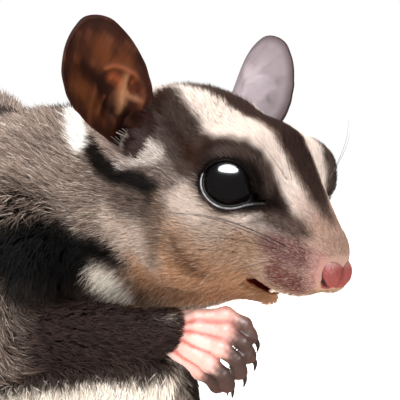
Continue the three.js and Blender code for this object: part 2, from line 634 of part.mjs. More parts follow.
// A lock rooted at t, on the side that angle gives. Its section is a diamond bent round the tail.
function lock(t, angle, reach) {
  const positions = [];
  for (const { along, out, wide, thick } of LOCK_SECTIONS) {
    const place = t + along * reach;
    const { centre, across, up } = tailFrame(place);
    const radial = across.clone().multiplyScalar(Math.cos(angle)).addScaledVector(up, Math.sin(angle));
    const round = across.clone().multiplyScalar(-Math.sin(angle)).addScaledVector(up, Math.cos(angle));
    const radius = out * tailRadius(place);
    const half = (wide * Math.PI * tailRadius(t) * 0.8) / LOCKS_ROUND;
    const bend = (half * half) / (2 * Math.max(radius, half));
    const middle = centre.addScaledVector(radial, radius);
    const rise = thick * LOCK_THICKNESS;
    for (const [side, height] of [[half, -bend], [0, rise], [-half, -bend], [0, -rise]]) {
      positions.push(...middle.clone().addScaledVector(round, side).addScaledVector(radial, height).toArray());
    }
  }
  const end = tailFrame(t + reach);
  const tip = end.centre.addScaledVector(end.across, Math.cos(angle) * tailRadius(t + reach));
  tip.addScaledVector(end.up, Math.sin(angle) * tailRadius(t + reach));
  positions.push(...tip.toArray());
  const last = (LOCK_SECTIONS.length - 1) * 4;
  const triangles = [0, 2, 1, 0, 3, 2];
  for (let i = 0; i < 4; i++) {
    const next = (i + 1) % 4;
    for (let s = 0; s < last; s += 4) triangles.push(s + i, s + 4 + next, s + 4 + i, s + i, s + next, s + 4 + next);
    triangles.push(last + i, last + next, last + 4);
  }
  const geometry = new THREE.BufferGeometry();
  geometry.setAttribute("position", new THREE.Float32BufferAttribute(positions, 3));
  geometry.setIndex(triangles);
  return solid(geometry);
}

// A seeded draw between -1 and 1.
let seed = 7;
function draw() {
  seed = (seed * 1103515245 + 12345) % 2147483648;
  return (2 * seed) / 2147483648 - 1;
}

function tailSolids() {
  const core = tube(TAIL_LINE, TAIL_RADII.map((r) => r * CORE_SHARE), { sides: 6, rings: 2 });
  const cuts = FIRST_OF_NODE.slice(1).map((ring) => {
    const t = ringPlace(ring) - 0.013;
    return { point: tailCurve.getPoint(t).toArray(), normal: tailCurve.getTangent(t).toArray() };
  });
  const lengths = [before(core, cuts[0])];
  lengths.push(before(behind(core, cuts[0]), cuts[1]));
  lengths.push(before(behind(core, cuts[1]), cuts[2]));
  lengths.push(behind(core, cuts[2]));
  for (let ring = 0; ring < LOCK_RINGS; ring++) {
    const t = ringPlace(ring);
    const node = FIRST_OF_NODE.filter((first) => ring >= first).length - 1;
    for (let i = 0; i < LOCKS_ROUND; i++) {
      const angle = (2 * Math.PI * (i + 0.5 * (ring % 2) + 0.05 * draw())) / LOCKS_ROUND;
      lengths[node] = lengths[node].add(lock(t, angle, LOCK_REACH * (1 + 0.08 * draw())));
    }
  }
  const bed = flesh([-30, 112, -4], [34, 160, 50], 2.6, GAP);
  lengths[0] = lengths[0].subtract(bed);
  return lengths.map(onFloor);
}

// Gliding membrane: a soft fold from wrist to ankle, its free edge in shallow waves.
const MEMBRANES = {
  right: [[-10.5, 26, 19.6], [-16, 36, 15.4], [-22.5, 48, 11.2], [-26, 58, 11], [-28, 67, 12.2], [-32.5, 76, 9]],
  left: [[13.6, 39, 9], [19.5, 48, 12], [24.5, 56, 13.6], [26.5, 62, 13.4], [28, 68, 12.8], [32.5, 76, 9]],
};
const FOLD_HALF_WIDTH = 5.2;
const FOLD_HALF_THICKNESS = 1.5;
const FOLD_WAVE = 1.2;
const FOLD_WAVES = 4.5;
function membrane(name) {
  const side = name === "left" ? 1 : -1;
  const curve = new THREE.CatmullRomCurve3(MEMBRANES[name].map(v3), false, "centripetal");
  const steps = 16;
  const ring = 8;
  const positions = [];
  for (let s = 0; s <= steps; s++) {
    const t = s / steps;
    const centre = curve.getPoint(t);
    const along = curve.getTangent(t);
    const drop = new THREE.Vector3(side * 0.55 * Math.min(1, 2.2 * t), 0, -0.85);
    drop.addScaledVector(along, -drop.dot(along)).normalize();
    const out = new THREE.Vector3().crossVectors(along, drop).normalize();
    const fade = Math.min(1, 6 * Math.min(t + 0.04, 1.04 - t));
    for (let i = 0; i < ring; i++) {
      const angle = (2 * Math.PI * i) / ring;
      const down = Math.cos(angle) * FOLD_HALF_WIDTH * (0.55 + 0.45 * fade);
      const wave = FOLD_WAVE * Math.sin(t * FOLD_WAVES * 2 * Math.PI) * Math.max(down / FOLD_HALF_WIDTH, 0);
      const thick = Math.sin(angle) * FOLD_HALF_THICKNESS * (0.6 + 0.4 * fade);
      const point = centre.clone().addScaledVector(drop, down).addScaledVector(out, wave + thick);
      positions.push(point.x, point.y, point.z);
    }
  }
  const first = positions.length / 3;
  for (const t of [0, 1]) {
    const end = curve.getPoint(t);
    positions.push(end.x, end.y, end.z);
  }
  const triangles = [];
  for (let i = 0; i < ring; i++) {
    const next = (i + 1) % ring;
    for (let s = 0; s < steps; s++) {
      const a = s * ring + i;
      const b = s * ring + next;
      triangles.push(a, b, b + ring, a, b + ring, a + ring);
    }
    triangles.push(first, next, i, first + 1, steps * ring + i, steps * ring + next);
  }
  const geometry = new THREE.BufferGeometry();
  geometry.setAttribute("position", new THREE.Float32BufferAttribute(positions, 3));
  geometry.setIndex(triangles);
  let made = solid(geometry);
  if (made.volume() < 0) {
    geometry.setIndex(triangles.reverse());
    made = solid(geometry);
  }
  const bed = flesh([side < 0 ? -44 : 4, 14, -4], [side < 0 ? -4 : 44, 92, 40], 3, 2 * GAP);
  return made.subtract(bed);
}

const membranes = { left: membrane("left"), right: membrane("right") };

// The scene graph
const glider = new THREE.Group();
glider.name = "sugar_glider";

function material(name, roughness) {
  return new THREE.MeshStandardMaterial({ color: new THREE.Color(...COLOURS[name]), roughness, metalness: 0 });
}

const MATERIALS = {
  coat: material("coat", 0.85),
  pale: material("pale", 0.85),
  dark: material("dark", 0.85),
  skin: material("skin", 0.6),
  ear: material("ear", 0.65),
  eye: material("eye", 0.08),
};

function addNode(name, made, finish) {
  const mesh = made.getMesh();
  const geometry = new THREE.BufferGeometry();
  const positions = new Float32Array(mesh.numVert * 3);
  for (let i = 0; i < mesh.numVert; i++) {
    positions.set(mesh.vertProperties.subarray(i * mesh.numProp, i * mesh.numProp + 3), i * 3);
  }
  geometry.setAttribute("position", new THREE.BufferAttribute(positions, 3));
  geometry.setIndex(new THREE.BufferAttribute(new Uint32Array(mesh.triVerts), 1));
  geometry.computeVertexNormals();
  const node = new THREE.Mesh(geometry, MATERIALS[finish]);
  node.name = name;
  glider.add(node);
}

addNode("head", head, "coat");
addNode("nose", nose, "skin");
addNode("neck", neck, "coat");
addNode("chest", chest, "coat");
addNode("belly", belly, "coat");
addNode("rump", rump, "coat");
for (const side of ["left", "right"]) {
  addNode(`ear_${side}`, ears[side], "ear");
  addNode(`eye_${side}`, eyeBall(side === "left" ? 1 : -1, EYE_RADIUS, 12), "eye");
  addNode(`membrane_${side}`, largest(membranes[side]), "pale");
}
for (const [name, made] of Object.entries(limbs)) addNode(name, onFloor(made), "coat");
for (const [name, made] of Object.entries(paws)) addNode(name, made, "skin");
tailSolids().forEach((made, i) => addNode(TAIL_NODES[i], made, i === 3 ? "dark" : "coat"));

// The origin is on the floor, under the middle of the whole model's box.
const middle = new THREE.Box3().setFromObject(glider).getCenter(new THREE.Vector3());
glider.position.set(-middle.x, -middle.y, 0);

export default glider;
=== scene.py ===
# A life-size sugar glider at rest: skin, fur, eyes, ears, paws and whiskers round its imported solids.
# Sizes are in millimetres in the animal's own frame: X lateral with its left at +X, the nose towards -Y,
# Z up from the floor. place() turns them into metres in the frame's own axes.
import math
from itertools import product

import bmesh
import bpy
import numpy as np
from mathutils import Matrix, Vector
from mathutils.kdtree import KDTree

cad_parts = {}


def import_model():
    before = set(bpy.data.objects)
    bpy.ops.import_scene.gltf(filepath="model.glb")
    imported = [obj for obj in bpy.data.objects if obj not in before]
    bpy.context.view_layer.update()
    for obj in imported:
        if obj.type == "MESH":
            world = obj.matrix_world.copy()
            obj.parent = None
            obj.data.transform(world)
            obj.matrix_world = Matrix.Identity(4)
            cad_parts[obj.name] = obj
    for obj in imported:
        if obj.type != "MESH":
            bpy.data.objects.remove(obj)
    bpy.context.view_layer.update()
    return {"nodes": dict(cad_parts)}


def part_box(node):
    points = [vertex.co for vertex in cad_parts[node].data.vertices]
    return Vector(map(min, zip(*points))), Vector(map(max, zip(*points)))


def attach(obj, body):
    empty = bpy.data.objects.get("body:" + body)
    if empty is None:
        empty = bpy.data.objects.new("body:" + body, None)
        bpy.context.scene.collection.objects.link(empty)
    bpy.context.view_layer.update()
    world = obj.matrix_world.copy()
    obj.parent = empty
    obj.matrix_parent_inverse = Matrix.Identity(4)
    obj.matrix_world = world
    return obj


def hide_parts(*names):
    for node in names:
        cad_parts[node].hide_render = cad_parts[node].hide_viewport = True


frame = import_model()

MM = 0.001
CHEST_END = 70.85  # where the chest's solid ends, back from the nose
SHIFT = np.array([
    (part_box("eye_left")[0].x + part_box("eye_right")[1].x) / 2,
    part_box("chest")[1].y - CHEST_END * MM,
    0.0,
])
SEED = 20251
DENSITY = 1.0

SIDES = {"left": 1, "right": -1}  # the sign of X on each side

# Driving sizes, as in the solids
NOSE_HEIGHT = 33.0
HEAD_PITCH = math.radians(23)
EYE_RADIUS = 4.3
EYE_CENTRE = (7.4, 17.1, 4.55)
EYE_AIM = (0.76, -0.6, 0.2)
EYE_FORWARD = (-0.5, -0.62, -0.5)  # the way the front corner of its lids points
EAR_LENGTH = 17.4
EARS = {
    "left": {"root": (11.75, 32.4, 4.4), "tip": (22.3, 40.5, 15.7), "facing": (0.8, -0.37, -0.48)},
    "right": {"root": (10.8, 33.6, 3.2), "tip": (17.9, 38.6, 17.0), "facing": (0.26, -0.95, 0.1)},
}
TAIL_RADIUS = 11.0
TAIL_LINE = [
    (0, 124, 17), (2, 144, 12.6), (9, 166, 11.4), (21, 188, 11.4),
    (39, 208, 11.2), (62, 223, 10.4), (86, 231, 8.4), (108, 232, 5),
]
TAIL_SHARES = [0.7, 0.86, 1.0, 1.05, 1.05, 1.0, 0.84, 0.3]
LIMBS = {
    "upper_arm_right": {"a": (-13, 46, 31), "b": (-20, 46, 21), "ra": 11, "rb": 8.5, "blend": 6},
    "forearm_right": {"a": (-20, 46, 20), "b": (-8.8, 21.5, 23.5), "ra": 6.8, "rb": 3.2, "blend": 4},
    "upper_arm_left": {"a": (13, 46, 31), "b": (20, 52, 22), "ra": 11, "rb": 8.5, "blend": 6},
    "forearm_left": {"a": (20, 52, 21), "b": (11, 36, 6), "ra": 6.6, "rb": 3.2, "blend": 4},
    "thigh_right": {"a": (-17, 106, 26), "b": (-25, 82, 16), "ra": 14, "rb": 10, "blend": 6},
    "thigh_left": {"a": (17, 106, 26), "b": (25, 82, 16), "ra": 14, "rb": 10, "blend": 6},
    "shank_right": {"a": (-27, 82, 12.5), "b": (-26, 98, 6.5), "ra": 8, "rb": 5, "blend": 4},
    "shank_left": {"a": (27, 82, 12.5), "b": (26, 98, 6.5), "ra": 8, "rb": 5, "blend": 4},
}
FOLDS = {
    "right": [
        (-9.4, 23.4, 17.2), (-16, 36, 14.4), (-22.5, 48, 10.6), (-26, 58, 11), (-28, 67, 12.2),
        (-32.5, 76, 9),
    ],
    "left": [
        (13.6, 39, 9), (19.5, 48, 12), (24.5, 56, 13.6), (26.5, 62, 13.4), (28, 68, 12.8), (32.5, 76, 9),
    ],
}
FOLD_HALF_WIDTH = 5.2
FOLD_WAVE = 1.2
FOLD_WAVES = 4.5
FOLD_COAT = 0.9  # the coat outside a fold's free edge
FOLD_SKIN = 0.6  # half of its skin's thickness
FOLD_STEP = 2.4  # reach of one station along it


# Small vector helpers, all on arrays of points
def unit(v):
    return v / np.maximum(np.linalg.norm(v, axis=-1, keepdims=True), 1e-9)


def dot(a, b):
    return (a * b).sum(-1)


def away(p, spot):
    """How far each place is from a spot."""
    return np.linalg.norm(p - np.asarray(spot, float), axis=-1)


def mirrored(p):
    """The animal's right side folded over on to its left."""
    m = p.copy()
    m[..., 0] = np.abs(m[..., 0])
    return m


def smooth(low, high, x):
    t = np.clip((x - low) / (high - low), 0.0, 1.0)
    return t * t * (3 - 2 * t)


def place(points):
    return np.asarray(points, float) * MM + SHIFT


def from_head(q):
    q = np.asarray(q, float)
    c, s = math.cos(HEAD_PITCH), math.sin(HEAD_PITCH)
    x, y, z = q[..., 0], q[..., 1], q[..., 2]
    return np.stack([x, y * c - z * s, NOSE_HEIGHT + y * s + z * c], -1)


def to_head(p):
    c, s = math.cos(HEAD_PITCH), math.sin(HEAD_PITCH)
    up = p[..., 2] - NOSE_HEIGHT
    return np.stack([p[..., 0], p[..., 1] * c + up * s, up * c - p[..., 1] * s], -1)


def turn_from_head(v):
    return from_head(v) - from_head(np.zeros(3))


# Distance functions
FAR = 60.0  # stands for a distance past the reach of every blend
UNREACHED = 1e9  # a first distance, which every other one is less than


def ellipsoid(p, centre, radii):
    radii = np.asarray(radii, float)
    q = (p - np.array(centre)) / radii
    near = np.sqrt((q * q).sum(-1))
    return near * (near - 1) / np.maximum(np.sqrt(((q / radii) ** 2).sum(-1)), 1e-9)


def limb_place(p, a, b):
    a, b = np.array(a, float), np.array(b, float)
    d = b - a
    return np.clip(((p - a) @ d) / (d @ d), 0, 1)


def limb(p, a, b, ra, rb):
    a, b = np.array(a, float), np.array(b, float)
    t = limb_place(p, a, b)
    return away(p - a, t[..., None] * (b - a)) - (ra + (rb - ra) * t)


def blend(a, b, width):
    h = np.maximum(width - np.abs(a - b), 0) / width
    return np.minimum(a, b) - h * h * width * 0.25


def carve(a, b, width):
    return -blend(-a, b, width)


def limb_distance(p, name):
    return limb(p, *(LIMBS[name][key] for key in ("a", "b", "ra", "rb")))


def head_distance(q):
    m = mirrored(q)
    d = ellipsoid(q, (0, 27.5, 0.6), (12.6, 14, 11.4))  # braincase
    d = blend(d, limb(q, (0, 5.4, 1.3), (0, 18, 5.3), 3.5, 7.1), 4)  # bridge
    d = blend(d, limb(q, (0, 3.9, -1.1), (0, 16, -1.4), 3.1, 8.4), 3)  # muzzle
    d = blend(d, ellipsoid(m, (7.2, 23, -4.0), (8.2, 11, 8.4)), 5)  # cheeks
    d = blend(d, ellipsoid(m, (6.9, 17.6, 4.4), (5.3, 6, 5.4)), 4)  # brows
    d = blend(d, ellipsoid(m, (3.5, 6.8, -2.8), (3.2, 4.8, 3.2)), 3)  # whisker pads
    return blend(d, limb(q, (0, 10.0, -8.3), (0, 20, -7.0), 2.0, 6.4), 2.5)  # lower jaw


def trunk_distance(p):
    d = limb(p, (0, 30, 40.5), (0, 54, 31.5), 13, 18)  # nape
    d = blend(d, limb(p, (0, 25, 33), (0, 50, 28), 8, 15), 6)  # throat
    d = blend(d, ellipsoid(p, (0, 58, 28.5), (20.5, 23, 22)), 8)  # chest
    d = blend(d, ellipsoid(p, (0, 85, 27), (26.5, 30, 30)), 8)  # belly
    d = blend(d, ellipsoid(p, (0, 50, 43), (12, 10, 9.0)), 5)  # shoulders
    return blend(d, ellipsoid(p, (0, 108, 24), (24, 25, 26)), 8)  # haunches


# Curves through points, spaced by the square root of the distance between them
def curve(points, t):
    pts = np.array(points, float)
    t = np.atleast_1d(np.asarray(t, float))
    last = len(pts) - 2
    spot = np.clip(t, 0, 1) * (len(pts) - 1)
    i = np.minimum(np.floor(spot).astype(int), last)
    w = (spot - i)[:, None]
    full = np.vstack([2 * pts[0] - pts[1], pts, 2 * pts[-1] - pts[-2]])
    x0, x1, x2, x3 = full[i], full[i + 1], full[i + 2], full[i + 3]
    pairs = ((x0, x1), (x1, x2), (x2, x3))
    d0, d1, d2 = (np.sqrt(np.linalg.norm(b - a, axis=-1, keepdims=True)) for a, b in pairs)
    m1 = ((x1 - x0) / d0 - (x2 - x0) / (d0 + d1) + (x2 - x1) / d1) * d1
    m2 = ((x2 - x1) / d1 - (x3 - x1) / (d1 + d2) + (x3 - x2) / d2) * d1
    c2 = -3 * x1 + 3 * x2 - 2 * m1 - m2
    c3 = 2 * x1 - 2 * x2 + m1 + m2
    return x1 + m1 * w + c2 * w**2 + c3 * w**3


def curve_frame(points, stations):
    centre = curve(points, stations)
    ahead = curve(points, np.minimum(stations + 1e-3, 1.0))
    back = curve(points, np.maximum(stations - 1e-3, 0.0))
    return centre, unit(ahead - back)


TAIL_STATIONS = np.linspace(0, 1, 41)
TAIL_CENTRES, TAIL_ALONG = curve_frame(TAIL_LINE, TAIL_STATIONS)


def tail_radius(t):
    return TAIL_RADIUS * np.interp(t, np.linspace(0, 1, len(TAIL_SHARES)), TAIL_SHARES)


def tail_place(p):
    """The tail's share of the way along nearest to each point, and the distance to its centre line."""
    best = np.full(p.shape[:-1], UNREACHED)
    share = np.zeros(p.shape[:-1])
    for i in range(len(TAIL_CENTRES) - 1):
        a, b = TAIL_CENTRES[i], TAIL_CENTRES[i + 1]
        t = limb_place(p, a, b)
        d = away(p - a, t[..., None] * (b - a))
        nearer = d < best
        best = np.where(nearer, d, best)
        share = np.where(nearer, TAIL_STATIONS[i] + t * (TAIL_STATIONS[i + 1] - TAIL_STATIONS[i]), share)
    return share, best


def tail_station(share):
    return np.minimum((share * (len(TAIL_ALONG) - 1)).round().astype(int), len(TAIL_ALONG) - 1)


TAIL_CORE_SHARE = 0.34  # the tail's skin, of the radius out to the tips of its coat
TAIL_FROM = 112  # no skin of the tail lies before this, or above the next
TAIL_TOP = 34


def tail_core(share):
    return np.maximum(TAIL_CORE_SHARE * tail_radius(share), 0.9)


def tail_skin_distance(p):
    d = np.full(p.shape[:-1], FAR)
    near = (p[..., 1] > TAIL_FROM) & (p[..., 2] < TAIL_TOP)
    share, reach = tail_place(p[near])
    d[near] = reach - tail_core(share)
    return d


def fold_stations(name):
    """Each gliding fold: stations along it with the way it hangs and the way its faces look."""
    side = SIDES[name]
    t = np.linspace(0, 1, 61)
    centre, along = curve_frame(FOLDS[name], t)
    drop = np.stack([side * 0.55 * np.minimum(1, 2.2 * t), 0 * t, -0.85 + 0 * t], -1)
    drop = unit(drop - along * dot(drop, along)[:, None])
    out = unit(np.cross(along, drop))
    half = FOLD_HALF_WIDTH * (0.55 + 0.45 * np.minimum(1, 6 * np.minimum(t + 0.04, 1.04 - t)))
    return {"t": t, "centre": centre, "along": along, "drop": drop, "out": out, "half": half}


FOLD_STATIONS = {name: fold_stations(name) for name in FOLDS}


def fold_place(p, name):
    """Coordinates in a fold: the nearest station, along, down to the free edge and out of its face."""
    s = FOLD_STATIONS[name]
    near = np.argmin(((p[:, None, :] - s["centre"][None]) ** 2).sum(-1), axis=1)
    offset = p - s["centre"][near]
    along = dot(offset, s["along"][near])
    down = dot(offset, s["drop"][near])
    wave = FOLD_WAVE * np.sin(s["t"][near] * FOLD_WAVES * 2 * math.pi) * np.maximum(down / FOLD_HALF_WIDTH, 0)
    return near, along, down, dot(offset, s["out"][near]) - wave


FOLD_INNER, FOLD_FROM, FOLD_TO, FOLD_TOP = 2, 12, 92, 34  # no fold lies outside these


def fold_distance(p, name):
    d = np.full(p.shape[:-1], FAR)
    side = SIDES[name]
    x, y, z = p[..., 0] * side, p[..., 1], p[..., 2]
    close = (x > FOLD_INNER) & (y > FOLD_FROM) & (y < FOLD_TO) & (z < FOLD_TOP)
    q = p[close]
    near, along, down, out = fold_place(q, name)
    half = np.maximum(FOLD_STATIONS[name]["half"][near] - FOLD_COAT, 1.0)
    radii = np.stack([half, np.full(len(q), FOLD_SKIN), np.full(len(q), FOLD_STEP)], -1)
    d[close] = ellipsoid(np.stack([down, out, along], -1), (0, 0, 0), radii)
    return d


def part_distances(p):
    """How near each point is to each part, for the coat's depth, its lie and its colours."""
    parts = {"head": head_distance(to_head(p)), "trunk": trunk_distance(p)}
    for name in LIMBS:
        parts[name] = limb_distance(p, name)
    return parts


# Widths of the soft seams between parts, and of the cut edges
NECK_BLEND = 7
TAIL_BLEND = 6
FOLD_BLEND = 1.6
CANAL_EDGE = 0.7
LIP_EDGE = 0.5


def body_distance(parts):
    d = parts["trunk"]
    for name in LIMBS:
        d = blend(d, parts[name], LIMBS[name]["blend"])
    return blend(parts["head"], d, NECK_BLEND)


# Depth of the coat, from the skin out to the tips: steps back from the nose and the depth there
HEAD_DEPTHS = ([0, 4, 9, 17, 26, 38], [0.12, 0.3, 0.5, 0.8, 1.5, 2.6])
TRUNK_DEPTHS = ([28, 45, 60, 90], [3.2, 4.0, 4.6, 5.0])
# The same of the limbs, at the start and the end of each
LIMB_DEPTHS = {"upper_arm": (3.4, 2.7), "forearm": (2.4, 0.6), "thigh": (4.4, 3.4), "shank": (2.2, 0.8)}


def kind(limb_name):
    return limb_name.rsplit("_", 1)[0]


def along_limb(p, name):
    return limb_place(p, LIMBS[name]["a"], LIMBS[name]["b"])


def limb_depths(p, name):
    first, last = LIMB_DEPTHS[kind(name)]
    return first + (last - first) * along_limb(p, name)


def part_depths(p):
    q = to_head(p)
    head = np.interp(q[..., 1], *HEAD_DEPTHS)
    head = head + 1.1 * smooth(17, 25, q[..., 1]) * smooth(1, -6, q[..., 2])
    depths = {"head": head, "trunk": np.interp(p[..., 1], *TRUNK_DEPTHS)}
    for name in LIMBS:
        depths[name] = limb_depths(p, name)
    return depths


def coat_depth(p, parts):
    depths = part_depths(p)
    total = np.zeros(p.shape[:-1])
    weight = np.zeros(p.shape[:-1])
    nearest = np.min(np.stack(list(parts.values())), axis=0)
    for name, d in parts.items():
        w = np.exp(-(d - nearest) / 2.5)
        total += w * depths[name]
        weight += w
    return total / weight


# The mouth: a gap between the lips, seen as a slot that runs back to each corner
MOUTH_CENTRE = (0, 6.6, -6.2)
MOUTH_RADII = (5.2, 6.6, 1.3)
MOUTH_TILT = math.radians(-11)


def mouth_distance(q):
    c, s = math.cos(MOUTH_TILT), math.sin(MOUTH_TILT)
    y = q[..., 1] - MOUTH_CENTRE[1]
    z = q[..., 2] - MOUTH_CENTRE[2]
    turned = np.stack([q[..., 0], y * c + z * s, z * c - y * s], -1)
    return ellipsoid(turned, (0, 0, 0), MOUTH_RADII)


# Places on the ear's front, and how wide the hollow is there
CANAL = [((1.8, 0.9), 1.9), ((0.6, -1.6), 1.15)]
CANAL_WAY = (0.9, -0.7, 0.0)  # the way the left one opens
CANAL_REACH = 7
CANAL_FLARE = 1.25


def canal_distance(p):
    """The hollow in front of each ear's lower end, where its canal shows."""
    found = np.full(p.shape[:-1], UNREACHED)
    for name in EARS:
        side = SIDES[name]
        root, up, _, wide = ear_axes(name)
        opening = CANAL_REACH * unit(np.array(CANAL_WAY) * [side, 1, 1])
        for (across, height), radius in CANAL:
            start = root + height * up - side * across * wide
            found = np.minimum(found, limb(p, start, start + opening, radius, radius * CANAL_FLARE))
    return found


SOLE = 0.35  # the skin's height over the floor where the coat is pressed flat


def skin_distance(p):
    parts = part_distances(p)
    d = body_distance(parts) + coat_depth(p, parts)
    d = blend(d, tail_skin_distance(p), TAIL_BLEND)
    for name in FOLDS:
        d = blend(d, fold_distance(p, name), FOLD_BLEND)
    d = carve(d, canal_distance(p), CANAL_EDGE)
    q = to_head(p)
    face = q[..., 1] < 16
    d[face] = carve(d[face], mouth_distance(q[face]), LIP_EDGE)
    for side_name, near in near_eyes(p):
        d = eyelid_body(p, d, side_name, near)
    return np.maximum(d, SOLE - p[..., 2])


# Surfaces of distance functions
MOST_MOVE = 0.4  # of a point in one round of drawing it on to the surface
BATCH = 300000  # places measured at once


def gradient(distance, p, e=0.05):
    out = np.empty(p.shape)
    for axis in range(3):
        step = np.zeros(3)
        step[axis] = e
        out[:, axis] = (distance(p + step) - distance(p - step)) / (2 * e)
    return out


def grid_values(distance, xs, ys, zs, coarse, reach):
    axes = [np.arange(a[0], a[-1] + coarse, coarse) for a in (xs, ys, zs)]
    wide = np.stack(np.meshgrid(*axes, indexing="ij"), -1).reshape(-1, 3)
    rough = distance(wide).reshape([len(a) for a in axes])
    pick = [np.abs(a[:, None] - c[None]).argmin(1) for a, c in zip((xs, ys, zs), axes)]
    values = rough[np.ix_(*pick)].copy()
    near = np.argwhere(np.abs(values) < reach)
    for start in range(0, len(near), BATCH):
        i, j, k = near[start:start + BATCH].T
        values[i, j, k] = distance(np.stack([xs[i], ys[j], zs[k]], -1))
    return values


def surface(distance, xs, ys, zs, rounds=2, coarse=5.0, reach=7.0):
    """A closed mesh of the surface where distance is 0, on a grid that may be uneven."""
    values = grid_values(distance, xs, ys, zs, coarse, reach)
    inside = values < 0
    grids = (xs, ys, zs)
    n = [len(grid) - 1 for grid in grids]
    corners = sum(
        inside[i:n[0] + i, j:n[1] + j, k:n[2] + k].astype(np.int8) for i, j, k in product((0, 1), repeat=3)
    )
    cells = np.argwhere((corners > 0) & (corners < 8))
    number = np.full(n, -1, np.int64)
    number[tuple(cells.T)] = np.arange(len(cells))
    total = np.zeros((len(cells), 3))
    count = np.zeros(len(cells))
    for axis, u, w in product(range(3), (0, 1), (0, 1)):
        others = [a for a in range(3) if a != axis]
        start = cells.copy()
        start[:, others] += (u, w)
        end = start.copy()
        end[:, axis] += 1
        a, b = values[tuple(start.T)], values[tuple(end.T)]
        cross = (a < 0) != (b < 0)
        t = np.where(cross, a / np.where(cross, a - b, 1), 0)
        point = np.stack([grids[c][start[:, c]] for c in range(3)], -1)
        point[:, axis] += t * (grids[axis][end[:, axis]] - grids[axis][start[:, axis]])
        total += point * cross[:, None]
        count += cross
    points = total / count[:, None]
    for _ in range(rounds):
        g = gradient(distance, points)
        move = distance(points) / np.maximum((g * g).sum(-1), 0.25)
        points -= np.clip(move[:, None] * g, -MOST_MOVE, MOST_MOVE)
    quads = []
    for axis in range(3):
        u, w = (axis + 1) % 3, (axis + 2) % 3
        low = [slice(None)] * 3
        high = [slice(None)] * 3
        low[axis], high[axis] = slice(0, -1), slice(1, None)
        a, b = inside[tuple(low)], inside[tuple(high)]
        edge = np.argwhere(a != b)
        edge = edge[(edge[:, u] > 0) & (edge[:, w] > 0) & (edge[:, u] < n[u]) & (edge[:, w] < n[w])]
        first = inside[tuple(edge.T)]
        ring = []
        for du, dw in ((0, 0), (1, 0), (1, 1), (0, 1)):
            cell = edge.copy()
            cell[:, [u, w]] -= (du, dw)
            ring.append(number[tuple(cell.T)])
        ring = np.stack(ring, -1)
        ring[~first] = ring[~first][:, ::-1]
        quads.append(ring)
    return points, np.vstack(quads)


def uneven(*stretches):
    """Grid lines from stretches of (start, end, step)."""
    lines = []
    for start, end, step in stretches:
        lines.extend(np.linspace(start, end, max(int(round((end - start) / step)), 1) + 1)[:-1])
    lines.append(stretches[-1][1])
    return np.array(lines)


# The eyes and the almond openings of their lids
def eye_axes(side):
    """Where an eye is, the way it looks, and the long and tall ways of its opening."""
    aim = turn_from_head(unit(np.array(EYE_AIM) * [side, 1, 1]))
    forward = np.array(EYE_FORWARD) * [side, 1, 1]
    long = unit(forward - aim * (forward @ aim))
    tall = np.cross(aim, long) * -side
    centre = from_head(np.array(EYE_CENTRE) * [side, 1, 1])
    return {"aim": aim, "long": long, "tall": tall, "centre": centre}


EYES = {name: eye_axes(side) for name, side in SIDES.items()}
LID_CORNERS = [  # bezier points of the opening, along and across the eye
    ((-3.25, -0.5), (-3.2, 1.1), (-2.0, 2.5), (-0.3, 2.6)),
    ((-0.3, 2.6), (1.2, 2.7), (2.4, 1.9), (3.0, 1.1)),
    ((3.0, 1.1), (3.7, 0.75), (4.6, 0.7), (5.5, 0.62)),
    ((5.5, 0.62), (4.7, 0.1), (4.0, -0.5), (3.3, -1.1)),
    ((3.3, -1.1), (2.5, -2.2), (1.5, -3.1), (0.0, -3.2)),
    ((0.0, -3.2), (-1.7, -3.3), (-3.2, -2.2), (-3.25, -0.5)),
]
EYE_RING = [  # the dark patch about the eye, in the same plane
    (-5.6, 0.4), (-5.6, 2.6), (-3.8, 4.5), (-1.4, 5.6), (1.0, 5.7), (3.2, 4.7), (5.5, 3.3), (7.9, 2.1),
    (8.8, 0.8), (6.5, -0.3), (3.4, -2.5), (0.6, -4.0), (-2.2, -3.9), (-4.3, -2.8), (-5.1, -1.2),
]


def lid_outline():
    t = np.arange(8)[:, None] / 8
    pieces = []
    for corners in LID_CORNERS:
        a, b, c, d = (np.array(p, float) for p in corners)
        pieces.append(a * (1 - t) ** 3 + 3 * b * t * (1 - t) ** 2 + 3 * c * t * t * (1 - t) + d * t**3)
    return np.vstack(pieces)


LID_OUTLINE = lid_outline()


def outline_distance(p, side_name, outline):
    """Signed distance to a closed outline in the eye's own plane: negative inside it."""
    eye = EYES[side_name]
    offset = p - eye["centre"]
    flat = np.stack([offset @ eye["long"], offset @ eye["tall"]], -1)
    best = np.full(len(p), UNREACHED)
    inside = np.zeros(len(p), bool)
    for a, b in zip(outline, np.roll(outline, -1, axis=0)):
        t = limb_place(flat, a, b)
        best = np.minimum(best, away(flat - a, t[:, None] * (b - a)))
        spans = (a[1] > flat[:, 1]) != (b[1] > flat[:, 1])
        rise = b[1] - a[1] if abs(b[1] - a[1]) > 1e-9 else 1e-9
        inside ^= spans & (flat[:, 0] < (b[0] - a[0]) * (flat[:, 1] - a[1]) / rise + a[0])
    return np.where(inside, -best, best)


def near_eyes(p, reach=9):
    """Each eye's side, with a mask of the places near it."""
    for side_name, eye in EYES.items():
        yield side_name, away(p, eye["centre"]) < reach


def opening_distance(p, side_name):
    return outline_distance(p, side_name, LID_OUTLINE)


